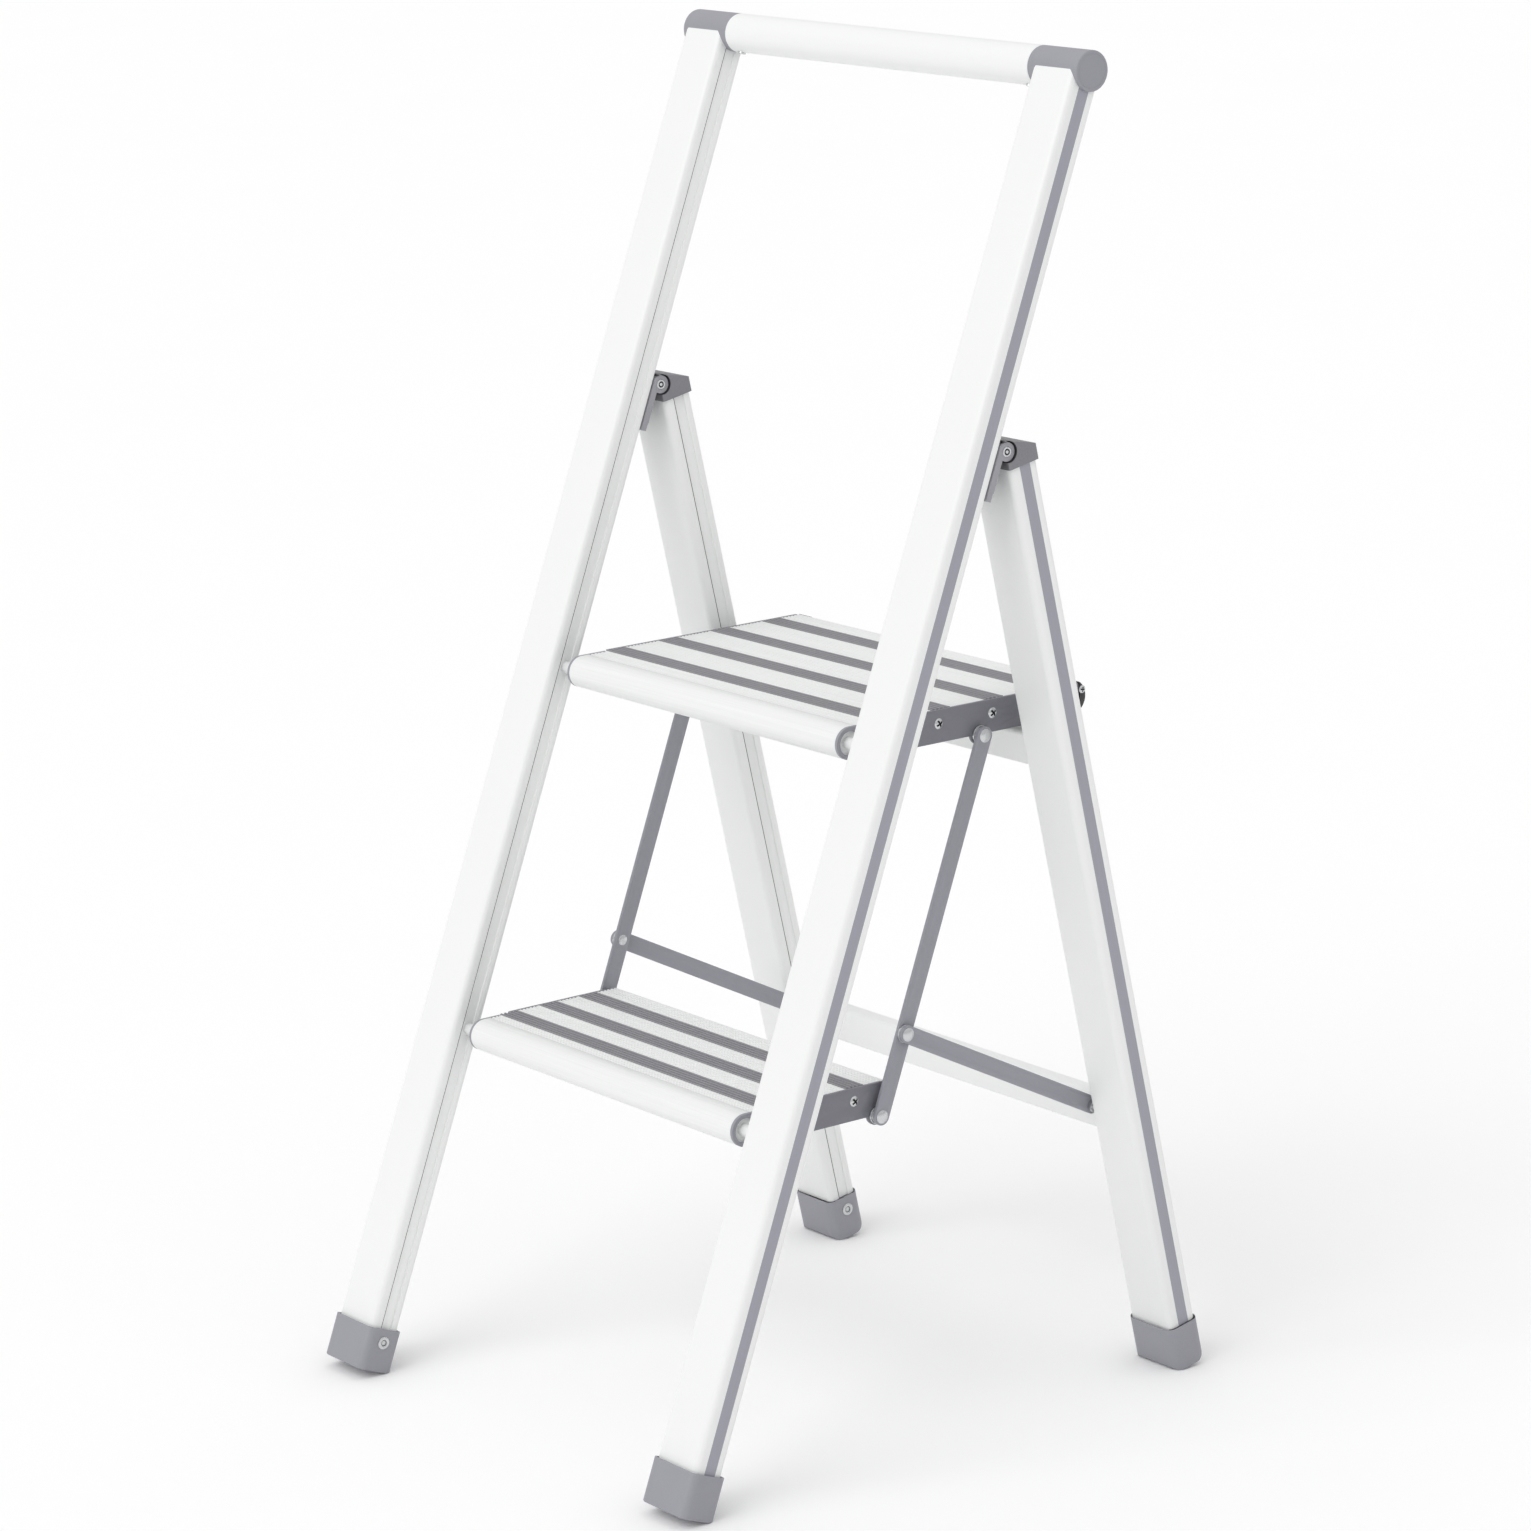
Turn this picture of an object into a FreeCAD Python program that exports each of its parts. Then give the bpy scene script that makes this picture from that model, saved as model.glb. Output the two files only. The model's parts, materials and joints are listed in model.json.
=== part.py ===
"""Folding two-step stool with a high hand bar, one STEP file per physical piece.

X runs across the stool, +Y from the front to the back, +Z up, in millimetres. The stool stands
open on Z = 0, and the origin is the middle of its box at the floor.

Two slanted frames carry everything. A point of the front frame is (u, s): u is the depth behind
the front face of the front rails, s the distance up the rail. A point of the rear frame is (u, t)
in the same way. A tread has its own (y, z), with its pivot at (0, 0) and y towards its back edge.
Every mirrored pair is drawn on the +X side, and the left one is its mirror image.
"""
import FreeCAD, Part
import math
import os

Vector = FreeCAD.Vector

# Frame angles, degrees
front_lean = 22.4          # front rails from the vertical
rear_lean = 10.3           # rear rails from the vertical
tread_to_rail = 21.3       # tread from the square position on the front rails

# Rails
half_width = 220.0         # centre to the outer face of a rail
rail_width = 44.0
rail_depth = 24.5
rail_corner = 4.5
rail_wall = 2.0
side_wall = 3.4
channel_start = 8.2        # channel for the coloured strip, from the front face
channel_end = 17.3
channel_depth = 1.2
slot_width = 1.3           # narrow slot at the front edge of the inner channel
slot_depth = 2.4
strip_sink = 0.1           # strip face below the rail face
fit_gap = 0.1              # around a plug in a rail or in the hand bar
front_rail_bottom = 8.0
rear_rail_bottom = 8.0
rear_rail_top = 681.0
inner_face = half_width - rail_width

# Hand bar
bar_u, bar_s = 13.7, 1001.2
bar_radius = 14.0
bar_wall = 2.0
bar_half = 171.0           # centre to the joint with the corner cap
cap_end = 222.3
spigot_length = 14.0
tongue_length = 36.0
bar_screw_x = 163.0
bar_screw_radius = 2.8

# Feet
foot_wall = 2.4
front_foot_corner, rear_foot_corner = 6.0, 9.0
front_foot_bottom, front_foot_top = -1.8, 29.6
rear_foot_bottom, rear_foot_top = -2.1, 30.2
heel_radius = 12.0
sole_chamfer = 0.8
sole_cut = 1.33            # what the floor trims off the edge of a front foot
foot_screw_up = 20.0
foot_screw_radius = 4.9

# Hinge between the front and the rear frame
hinge_u, hinge_s = 30.74, 742.1
hinge_rear_u, hinge_rear_t = 0.47, 693.86
plate_thickness = 4.6
plate_bottom, plate_top = 706.5, 733.0
ear_radius = 6.6
ear_thickness = 5.0
ear_inset = 0.5
barrel_radius = 5.6
hinge_pin_radius = 2.5
pin_head_radius = 3.5
pin_head_height = 0.5
running_gap = 0.05         # radial, between a pin and what turns on it
hinge_gap = 1.0
cap_to_rail = 0.6
hinge_cap_over = 1.0
hinge_cap_corner = 2.0
hinge_plug_length = 24.0
hinge_cap_back_top, hinge_cap_front_top = 691.8, 702.6

# Treads
tread_half = 159.3
tread_thickness = 23.0
tread_wall = 1.8
nose_tunnel = 8.6          # radius of the round tunnel in the nose
nose_cap_thickness = 2.5
rib_pitch = 3.0
rib_depth = 1.3
grip_depth = 1.6
grip_rise = 0.5
grip_ribs = 5
pivot_u = 15.1
upper_pivot_s, lower_pivot_s = 526.45, 255.25
spacer_radius = 4.5
pivot_pin_end = 179.0
pivot_pin_tail = 4.0
pivot_journal_x = (118.0, 156.5)
upper = dict(length=200.1, grip_start=22.8, grip_pitch=47.0, grip_width=17.5, grips=4,
             webs=(11.5, 55.0, 102.0, 149.0), bracket=(25.0, 199.0),
             screws=((74.5, 1.9), (121.7, 1.9)))
lower = dict(length=119.8, grip_start=15.4, grip_pitch=34.9, grip_width=16.4, grips=3,
             webs=(11.5, 45.0, 82.0), bracket=(25.0, 117.5),
             screws=((42.0, 2.2), (90.9, 2.2)))

# Brackets, bars and rivets, as positions across the stool
bracket_x = (159.3, 161.8)
bar_a_x = (166.0, 168.5)
bar_b_x = (170.1, 172.6)
link_width = 12.5
link_u = 121.1             # the upright bars, behind the front face
link_top_s, link_mid_s, link_low_s = 555.8, 343.86, 284.6
brace_pivot_u, brace_pivot_t = 4.5, 195.0
ear_drop_radius = 7.2
shank_radius = 3.0
collar_radius = 6.4
rivet_head_radius = 4.8
rivet_head_height = 1.5
inner_head_radius, inner_head_height = 3.9, 1.2
back_washer_radius = 4.8
back_head_height = 1.3
face_gap = 0.1

# Cross braces of the rear frame: (bottom t, top t, front u, back u)
upper_brace = (453.5, 477.3, 8.0, 22.0)
lower_brace = (171.0, 200.0, 12.5, 22.5)
brace_wall = 2.0
brace_corner = 2.0

# Catches at the back edge of the upper tread
catch_x = (146.0, 161.8)
catch_reach = 5.1
catch_low, catch_high = -8.5, 11.3
catch_screw = (202.2, 5.6)
catch_screw_radius, catch_screw_length = 1.5, 6.0
catch_head_radius, catch_head_height = 2.8, 1.3

screw_head_radius = 3.8
screw_head_height = 1.7


def yz_direction(angle):
    """Unit vector that leans back by angle degrees from the vertical."""
    return Vector(0, math.sin(math.radians(angle)), math.cos(math.radians(angle)))


def placed(shape, origin, depth_axis, up_axis):
    """Move a shape drawn with X across, Y as depth and Z as height onto two slanted axes."""
    matrix = FreeCAD.Matrix(1, 0, 0, origin.x,
                            0, depth_axis.y, up_axis.y, origin.y,
                            0, depth_axis.z, up_axis.z, origin.z,
                            0, 0, 0, 1)
    moved = shape.copy()
    moved.Placement = FreeCAD.Placement(matrix).multiply(shape.Placement)
    return moved


front_up = yz_direction(front_lean)
front_back = yz_direction(front_lean + 90)
rear_up = yz_direction(-rear_lean)
rear_back = yz_direction(90 - rear_lean)
tread_back = yz_direction(front_lean + 90 - tread_to_rail)
tread_up = yz_direction(front_lean - tread_to_rail)
heel_drop = (rail_depth + foot_wall - sole_chamfer) * math.sin(math.radians(front_lean))
ground = heel_drop - front_foot_bottom * math.cos(math.radians(front_lean)) - sole_cut
stool_depth_middle = 228.55
front_origin = Vector(0, -stool_depth_middle, ground)


def front_point(u, s, x=0.0):
    return front_origin + front_back * u + front_up * s + Vector(x, 0, 0)


hinge_point = front_point(hinge_u, hinge_s)
rear_origin = hinge_point - rear_back * hinge_rear_u - rear_up * hinge_rear_t


def rear_point(u, t, x=0.0):
    return rear_origin + rear_back * u + rear_up * t + Vector(x, 0, 0)


def on_front(shape):
    return placed(shape, front_origin, front_back, front_up)


def on_rear(shape):
    return placed(shape, rear_origin, rear_back, rear_up)


def on_tread(shape, pivot_s):
    return placed(shape, front_point(pivot_u, pivot_s), tread_back, tread_up)


def mirrored(shape):
    return shape.mirror(Vector(0, 0, 0), Vector(1, 0, 0))


def both(nodes, name, shape):
    """The right piece and its mirror image on the left, as two nodes."""
    nodes[name + "_right"] = shape
    nodes[name + "_left"] = mirrored(shape)


def pair(nodes, name, *shapes):
    """Small right-hand pieces and their mirror images, together in one node."""
    nodes[name] = Part.makeCompound(list(shapes) + [mirrored(shape) for shape in shapes])


def box(x0, x1, y0, y1, z0, z1):
    return Part.makeBox(x1 - x0, y1 - y0, z1 - z0, Vector(x0, y0, z0))


def rod(radius, x0, x1, y=0.0, z=0.0):
    """Cylinder along X."""
    return Part.makeCylinder(radius, x1 - x0, Vector(x0, y, z), Vector(1, 0, 0))


def rounded_box(x0, x1, y0, y1, z0, z1, corner):
    """Box whose edges along Z are rounded."""
    solid = box(x0, x1, y0, y1, z0, z1)
    upright = [edge for edge in solid.Edges if abs(edge.tangentAt(edge.FirstParameter).z) > 0.99]
    return solid.makeFillet(corner, upright)


def plate(points, x0, x1):
    """Flat outline in (y, z), extruded across X."""
    corners = [Vector(x0, y, z) for y, z in points]
    face = Part.Face(Part.makePolygon(corners + corners[:1]))
    return face.extrude(Vector(x1 - x0, 0, 0))


def dome(radius, height, x0, y, z, side=1):
    """Rivet or screw head: a slice of a ball with its flat at x0, bulging towards side."""
    ball = (radius ** 2 + height ** 2) / (2 * height)
    sphere = Part.makeSphere(ball, Vector(x0 + side * (height - ball), y, z))
    low, high = (x0, x0 + height) if side > 0 else (x0 - height, x0)
    return sphere.common(box(low, high, y - ball, y + ball, z - ball, z + ball))


def cross_cut(x0, x1, y, z, reach=2.0, width=0.9):
    """The cross of a screw head, to be cut away."""
    return box(x0, x1, y - reach, y + reach, z - width / 2, z + width / 2).fuse(
        box(x0, x1, y - width / 2, y + width / 2, z - reach, z + reach))


def flat_bar(start, end, x0, x1, width, hole):
    """Strip with round ends between two (y, z) points, with a hole at each."""
    run = Vector(0, end[0] - start[0], end[1] - start[1])
    side = Vector(1, 0, 0).cross(run)
    side.normalize()
    side = side * (width / 2)
    first, last = Vector(x0, *start), Vector(x0, *end)
    face = Part.Face(Part.makePolygon([first + side, last + side, last - side, first - side,
                                       first + side]))
    solid = face.extrude(Vector(x1 - x0, 0, 0))
    for y, z in (start, end):
        solid = solid.fuse(rod(width / 2, x0, x1, y, z))
    solid = solid.removeSplitter()
    for y, z in (start, end):
        solid = solid.cut(rod(hole, x0 - 1, x1 + 1, y, z))
    return solid


# --- Front frame -----------------------------------------------------------------------------

def rail(bottom, top):
    """Hollow right-hand rail with a channel along both sides, drawn upright."""
    solid = rounded_box(inner_face, half_width, 0, rail_depth, bottom, top, rail_corner)
    solid = solid.cut(box(inner_face + side_wall, half_width - side_wall,
                          rail_wall, rail_depth - rail_wall, bottom - 1, top + 1))
    for x0, x1 in ((half_width - channel_depth, half_width + 1),
                   (inner_face - 1, inner_face + channel_depth)):
        solid = solid.cut(box(x0, x1, channel_start, channel_end, bottom - 1, top + 1))
    return solid.cut(box(inner_face - 1, inner_face + slot_depth,
                         channel_start, channel_start + slot_width, bottom - 1, top + 1))


def rail_plug(bottom, top):
    """Block that fits into the end of a rail."""
    return box(inner_face + side_wall + fit_gap, half_width - side_wall - fit_gap,
               rail_wall + fit_gap, rail_depth - rail_wall - fit_gap, bottom, top)


def strip(bottom, top):
    """Grey strip in the outer channel of a rail."""
    return box(half_width - channel_depth, half_width - strip_sink,
               channel_start, channel_end, bottom, top)


def pin_holes():
    """Holes in the inner wall of a front rail for the tread pins."""
    holes = [rod(pivot_pin_tail, inner_face - 2, inner_face + side_wall + 1, pivot_u, s)
             for s in (upper_pivot_s, lower_pivot_s)]
    return holes[0].fuse(holes[1])


def foot(bottom, top, rail_bottom, corner, heel):
    """Cup over the end of a rail; the heel of a rear foot is rounded."""
    x0, x1 = inner_face - foot_wall, half_width + foot_wall
    y1 = rail_depth + foot_wall
    solid = rounded_box(x0, x1, -foot_wall, y1, bottom, top, corner)
    sole = [edge for edge in solid.Edges if edge.BoundBox.ZMax < bottom + 0.01]
    if heel:
        keep = plate([(-9, top + 1), (-9, bottom + 6), (-foot_wall, bottom + 3), (0.6, bottom),
                      (y1 - heel_radius, bottom), (y1 - heel_radius, top + 1)], x0 - 1, x1 + 1)
        keep = keep.fuse(rod(heel_radius, x0 - 1, x1 + 1, y1 - heel_radius, bottom + heel_radius))
        keep = keep.fuse(box(x0 - 1, x1 + 1, y1 - heel_radius, y1 + 1, bottom + heel_radius, top + 1))
        solid = solid.common(keep)
    else:
        solid = solid.makeChamfer(sole_chamfer, sole)
    pocket = rounded_box(inner_face, half_width, 0, rail_depth, rail_bottom, top + 1, rail_corner)
    lip = rounded_box(inner_face - 1.2, half_width + 1.2, -1.2, rail_depth + 1.2,
                      top - 1.5, top + 1, rail_corner + 1)
    return solid.cut(pocket).cut(lip)


def foot_screw(up):
    """Countersunk screw in the inner side of a foot."""
    y = rail_depth / 2
    x = inner_face - foot_wall
    solid = dome(foot_screw_radius, 1.0, x, y, up, side=-1)
    solid = solid.fuse(rod(1.6, x, inner_face + 6, y, up))
    return solid.cut(rod(1.3, x - 2, x - 0.2, y, up))


def screw_hole(up):
    return rod(1.6, inner_face - 3, inner_face + 7, rail_depth / 2, up)


def on_floor(shape):
    """Cut off what would reach below the floor."""
    return shape.cut(Part.makeBox(1000, 1200, 50, Vector(-500, -600, -50)))


def hand_bar():
    tube = rod(bar_radius, -bar_half, bar_half, bar_u, bar_s)
    tube = tube.cut(rod(bar_radius - bar_wall, -bar_half - 1, bar_half + 1, bar_u, bar_s))
    for x in (-bar_screw_x, bar_screw_x):
        hole = Part.makeCylinder(1.5, 4, Vector(x, bar_u, bar_s - bar_radius - 1))
        tube = tube.cut(hole)
    return tube


def corner_cap():
    """Round end of the hand bar, with a spigot in the bar and a tongue in the rail."""
    solid = rod(bar_radius, bar_half, cap_end, bar_u, bar_s)
    rim = [edge for edge in solid.Edges if edge.BoundBox.XMin > cap_end - 0.01]
    solid = solid.makeFillet(0.8, rim)
    solid = solid.fuse(rod(bar_radius - bar_wall - fit_gap, bar_half - spigot_length, bar_half + 1,
                           bar_u, bar_s))
    solid = solid.fuse(rail_plug(bar_s - bar_radius - tongue_length, bar_s))
    return solid.cut(Part.makeCylinder(1.5, 12, Vector(bar_screw_x, bar_u, bar_s - bar_radius)))


def bar_screws():
    """Two small screws under the hand bar, into the caps' spigots."""
    screws = []
    for x in (-bar_screw_x, bar_screw_x):
        low = bar_s - bar_radius
        head = Part.makeCylinder(bar_screw_radius, 1.6, Vector(x, bar_u, low - 1.1))
        head = head.cut(rod(bar_radius, x - 5, x + 5, bar_u, bar_s))
        shank = Part.makeCylinder(1.5, 9, Vector(x, bar_u, low - 0.5))
        screws.append(head.fuse(shank))
    return Part.makeCompound(screws)


def hinge_plate():
    """Plate on the back of a front rail with two ears that hold the hinge pin."""
    x0, x1 = inner_face + ear_inset, half_width - ear_inset
    back = rail_depth + plate_thickness
    solid = rounded_box(x0, x1, rail_depth, back, plate_bottom, plate_top, 1.0)
    solid = solid.fuse(box(x0, x1, rail_depth, rail_depth + 2, plate_bottom, plate_top))
    for ear0, ear1 in ((x0, x0 + ear_thickness), (x1 - ear_thickness, x1)):
        solid = solid.fuse(box(ear0, ear1, rail_depth, back, plate_bottom + 6, hinge_s))
        solid = solid.fuse(rod(ear_radius, ear0, ear1, hinge_u, hinge_s))
    solid = solid.cut(box(x0 - 1, x1 + 1, 0, rail_depth, plate_bottom - 9, hinge_s + 20))
    solid = solid.removeSplitter()
    return solid.cut(rod(hinge_pin_radius, x0 - 1, x1 + 1, hinge_u, hinge_s))


def hinge_pin():
    x0, x1 = inner_face + ear_inset, half_width - ear_inset
    solid = rod(hinge_pin_radius, x0, x1, hinge_u, hinge_s)
    for inner, outer in ((x0, x0 - pin_head_height), (x1, x1 + pin_head_height)):
        solid = solid.fuse(rod(pin_head_radius, min(inner, outer), max(inner, outer),
                               hinge_u, hinge_s))
        solid = solid.cut(rod(1.1, outer - 0.5, outer + 0.5, hinge_u, hinge_s))
    return solid


def pivot_pin(pivot_s):
    """Stepped pin that a tread turns on: journal in the nose, spacer, tail in the rail."""
    near, far = pivot_journal_x
    solid = rod(nose_tunnel - running_gap, near, far, pivot_u, pivot_s)
    solid = solid.fuse(rod(spacer_radius, far - 1, inner_face, pivot_u, pivot_s))
    return solid.fuse(rod(pivot_pin_tail, inner_face - 1, pivot_pin_end, pivot_u, pivot_s))


def front_frame(nodes):
    hand_bar_space = rod(bar_radius, inner_face - 5, half_width + 5, bar_u, bar_s)
    keep_under_bar = box(inner_face - 5, half_width + 5, -5, rail_depth + 5, bar_s, bar_s + 40)
    tall = rail(front_rail_bottom, bar_s + 5).cut(hand_bar_space).cut(keep_under_bar)
    tall = tall.cut(pin_holes()).cut(screw_hole(foot_screw_up))
    both(nodes, "front_rail", on_front(tall))
    both(nodes, "front_strip", on_front(
        strip(front_rail_bottom, bar_s + 5).cut(hand_bar_space).cut(keep_under_bar)))
    nodes["hand_bar"] = on_front(hand_bar())
    both(nodes, "corner_cap", on_front(corner_cap()))
    nodes["hand_bar_screws"] = on_front(bar_screws())
    cup = foot(front_foot_bottom, front_foot_top, front_rail_bottom, front_foot_corner, heel=False)
    both(nodes, "front_foot", on_floor(on_front(cup.cut(screw_hole(foot_screw_up)))))
    pair(nodes, "front_foot_screws", on_front(foot_screw(foot_screw_up)))
    both(nodes, "hinge_plate", on_front(hinge_plate()))
    both(nodes, "hinge_pin", on_front(hinge_pin()))
    pair(nodes, "upper_pivot_pins", on_front(pivot_pin(upper_pivot_s)))
    pair(nodes, "lower_pivot_pins", on_front(pivot_pin(lower_pivot_s)))


# --- Rear frame ------------------------------------------------------------------------------

def hinge_cap():
    """Cast cap on a rear rail: a wedge with a barrel that turns between the ears."""
    x0, x1 = inner_face - hinge_cap_over, half_width + hinge_cap_over
    back = rail_depth + hinge_cap_over
    wedge = rounded_box(x0, x1, -hinge_cap_over, back, rear_rail_top, hinge_cap_front_top + 2,
                        hinge_cap_corner)
    slope = plate([(-20, hinge_cap_front_top + 9), (back + 9, hinge_cap_front_top + 9),
                   (back + 9, hinge_cap_back_top - 4), (back, hinge_cap_back_top),
                   (-hinge_cap_over, hinge_cap_front_top), (-20, hinge_cap_front_top + 8)],
                  x0 - 1, x1 + 1)
    solid = wedge.cut(slope)
    ear_x0, ear_x1 = inner_face + ear_inset, half_width - ear_inset
    ear_room = ear_thickness + hinge_gap
    barrel = rod(barrel_radius, ear_x0 + ear_room, ear_x1 - ear_room, hinge_rear_u, hinge_rear_t)
    solid = solid.fuse(barrel)
    for near, far in ((x0 - 1, ear_x0 + ear_room), (ear_x1 - ear_room, x1 + 1)):
        solid = solid.cut(rod(ear_radius + hinge_gap, near, far, hinge_rear_u, hinge_rear_t))
    solid = solid.cut(front_rail_side(x0 - 1, x1 + 1))
    solid = solid.fuse(rail_plug(rear_rail_top - hinge_plug_length, rear_rail_top + 1))
    return solid.cut(rod(hinge_pin_radius + running_gap, x0 - 1, x1 + 1,
                         hinge_rear_u, hinge_rear_t))


def front_rail_side(x0, x1):
    """The half space in front of the open stool's front rail, seen from the rear frame."""
    opening = math.radians(front_lean + rear_lean)
    toward = Vector(0, -math.cos(opening), math.sin(opening))
    along = Vector(0, math.sin(opening), math.cos(opening))
    hinge = Vector(0, hinge_rear_u, hinge_rear_t)
    near = hinge + toward * (hinge_u - rail_depth - cap_to_rail)
    corners = [near - along * 60, near + along * 60, near + along * 60 + toward * 40,
               near - along * 60 + toward * 40]
    return plate([(corner.y, corner.z) for corner in corners], x0, x1)


def cross_brace(bottom, top, near, far):
    """Hollow bar between the inner faces of the rear rails."""
    solid = box(-inner_face, inner_face, near, far, bottom, top)
    long_edges = [edge for edge in solid.Edges if edge.Length > 2 * inner_face - 1]
    solid = solid.makeFillet(brace_corner, long_edges)
    return solid.cut(box(-inner_face - 1, inner_face + 1, near + brace_wall, far - brace_wall,
                         bottom + brace_wall, top - brace_wall))


def back_rivet():
    """Rivet in a rear rail that the slanted bar turns on: tail, washer, shank and round head."""
    y, z = brace_pivot_u, brace_pivot_t
    bar_near, bar_far = bar_b_x
    solid = rod(shank_radius, bar_near - face_gap - 0.2, inner_face + side_wall, y, z)
    solid = solid.fuse(rod(back_washer_radius, bar_far + face_gap, inner_face, y, z))
    return solid.fuse(dome(rivet_head_radius, back_head_height, bar_near - face_gap, y, z, side=-1))


def rear_frame(nodes):
    short = rail(rear_rail_bottom, rear_rail_top).cut(screw_hole(foot_screw_up))
    short = short.cut(rod(shank_radius, inner_face - 2, inner_face + side_wall + 1,
                          brace_pivot_u, brace_pivot_t))
    both(nodes, "rear_rail", on_rear(short))
    both(nodes, "rear_strip", on_rear(strip(rear_rail_bottom, rear_rail_top)))
    cup = foot(rear_foot_bottom, rear_foot_top, rear_rail_bottom, rear_foot_corner, heel=True)
    both(nodes, "rear_foot", on_floor(on_rear(cup.cut(screw_hole(foot_screw_up)))))
    pair(nodes, "rear_foot_screws", on_rear(foot_screw(foot_screw_up)))
    both(nodes, "hinge_cap", on_rear(hinge_cap()))
    nodes["upper_brace"] = on_rear(cross_brace(*upper_brace))
    nodes["lower_brace"] = on_rear(cross_brace(*lower_brace))
    pair(nodes, "back_rivets", on_rear(back_rivet()))


# --- Treads ----------------------------------------------------------------------------------

def grip_starts(tread):
    return [tread["grip_start"] + index * tread["grip_pitch"] for index in range(tread["grips"])]


def tread_outline(tread):
    """Top line of the deck from the back edge to the nose: ribbed bands and grip channels."""
    top = tread_thickness / 2
    points = []
    bands = [4.0]
    for start in grip_starts(tread):
        bands += [start, start + tread["grip_width"]]
    bands.append(tread["length"] - 1.5)
    for index in range(len(bands) - 1):
        begin, end = bands[index], bands[index + 1]
        if index % 2:
            points += [(begin, top - grip_depth), (end, top - grip_depth)]
            continue
        points.append((begin, top))
        ribs = int((end - begin - 1.0) // rib_pitch)
        first = (begin + end - ribs * rib_pitch) / 2
        for rib in range(ribs):
            left = first + rib * rib_pitch + rib_pitch * 0.25
            points += [(left, top), (left + rib_pitch * 0.1, top - rib_depth),
                       (left + rib_pitch * 0.4, top - rib_depth), (left + rib_pitch * 0.5, top)]
        points.append((end, top))
    return points


def tread_body(tread):
    """White deck: round nose with a tunnel, ribbed top, hollow chambers between webs."""
    top = tread_thickness / 2
    length = tread["length"]
    half = tread_half
    line = [(0, top)] + tread_outline(tread) + [(length, top - 1.5), (length, -top), (0, -top)]
    vectors = [Vector(-half, y, z) for y, z in line]
    edges = [Part.makeLine(a, b) for a, b in zip(vectors, vectors[1:])]
    nose = Part.Arc(vectors[-1], Vector(-half, -top, 0), vectors[0]).toShape()
    solid = Part.Face(Part.Wire(edges + [nose])).extrude(Vector(2 * half, 0, 0))
    solid = solid.cut(rod(nose_tunnel, -half - 1, half + 1))
    webs = list(tread["webs"]) + [length - tread_wall]
    ceiling = top - grip_depth - tread_wall
    for near, far in zip(webs, webs[1:]):
        solid = solid.cut(box(-half - 1, half + 1, near, far - tread_wall,
                              -top + tread_wall, ceiling))
    end = box(half - nose_cap_thickness, half + 1, -top - 1, nose_cap_depth(tread), -top - 1, top + 1)
    return solid.cut(end).cut(mirrored(end))


def grip(tread, start):
    """Soft strip with fine ribs, pressed into a channel of the deck."""
    top = tread_thickness / 2
    width = tread["grip_width"]
    base = top - 0.6
    pitch = width / grip_ribs
    points = [(start, top - grip_depth), (start, base)]
    for rib in range(grip_ribs):
        left = start + rib * pitch
        points += [(left + pitch * 0.15, base), (left + pitch * 0.25, top + grip_rise),
                   (left + pitch * 0.75, top + grip_rise), (left + pitch * 0.85, base)]
    points += [(start + width, base), (start + width, top - grip_depth)]
    return plate(points, -tread_half, tread_half)


def nose_cap_depth(tread):
    """How far back the nose cap reaches: short of the bracket and of the first grip."""
    return min(tread["bracket"][0] - 3, tread["grip_start"])


def nose_cap(tread):
    """Grey C-shaped end of the nose, with a gusset at its foot and the deck's end behind it."""
    x0, x1 = tread_half - nose_cap_thickness, tread_half
    top = tread_thickness / 2
    depth = nose_cap_depth(tread)
    solid = rod(top, x0, x1).fuse(box(x0, x1, 0, depth, -top, top))
    solid = solid.removeSplitter()
    solid = solid.cut(rod(nose_tunnel, x0 - 1, x1 + 1))
    opening = plate([(3, 5.2), (depth - 2, 5.2), (depth - 2, -9.3), (9.5, -9.3), (3, -3)],
                    x0 - 1, x1 + 1)
    return solid.cut(opening)


def pivot_in_tread():
    """The rivet of the upright bar in a tread's own (y, z)."""
    angle = math.radians(tread_to_rail)
    du, ds = link_u - pivot_u, link_top_s - upper_pivot_s
    return (du * math.cos(angle) + ds * math.sin(angle),
            ds * math.cos(angle) - du * math.sin(angle))


def bracket(tread):
    """Side plate of a tread with a round ear for the upright bar."""
    near, far = tread["bracket"]
    top = tread_thickness / 2
    x0, x1 = bracket_x
    y, z = pivot_in_tread()
    solid = box(x0, x1, near, far, -top, top)
    corners = [edge for edge in solid.Edges
               if abs(edge.tangentAt(edge.FirstParameter).x) > 0.99 and edge.BoundBox.YMin > far - 1]
    solid = solid.makeFillet(2.5, corners).fuse(rod(ear_drop_radius, x0, x1, y, z))
    solid = solid.removeSplitter().cut(rod(shank_radius, x0 - 1, x1 + 1, y, z))
    for screw_y, screw_z in tread["screws"]:
        solid = solid.cut(rod(1.9, x0 - 1, x1 + 1, screw_y, screw_z))
    return solid


def bracket_screws(tread):
    """Cross-head screws that hold a bracket, as they are on the right."""
    screws = []
    for y, z in tread["screws"]:
        head = dome(screw_head_radius, screw_head_height, bracket_x[1], y, z)
        head = head.cut(cross_cut(bracket_x[1] + 0.7, bracket_x[1] + 3, y, z))
        screws.append(head.fuse(rod(1.9, bracket_x[0], bracket_x[1] + 0.1, y, z)))
    return screws


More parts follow.
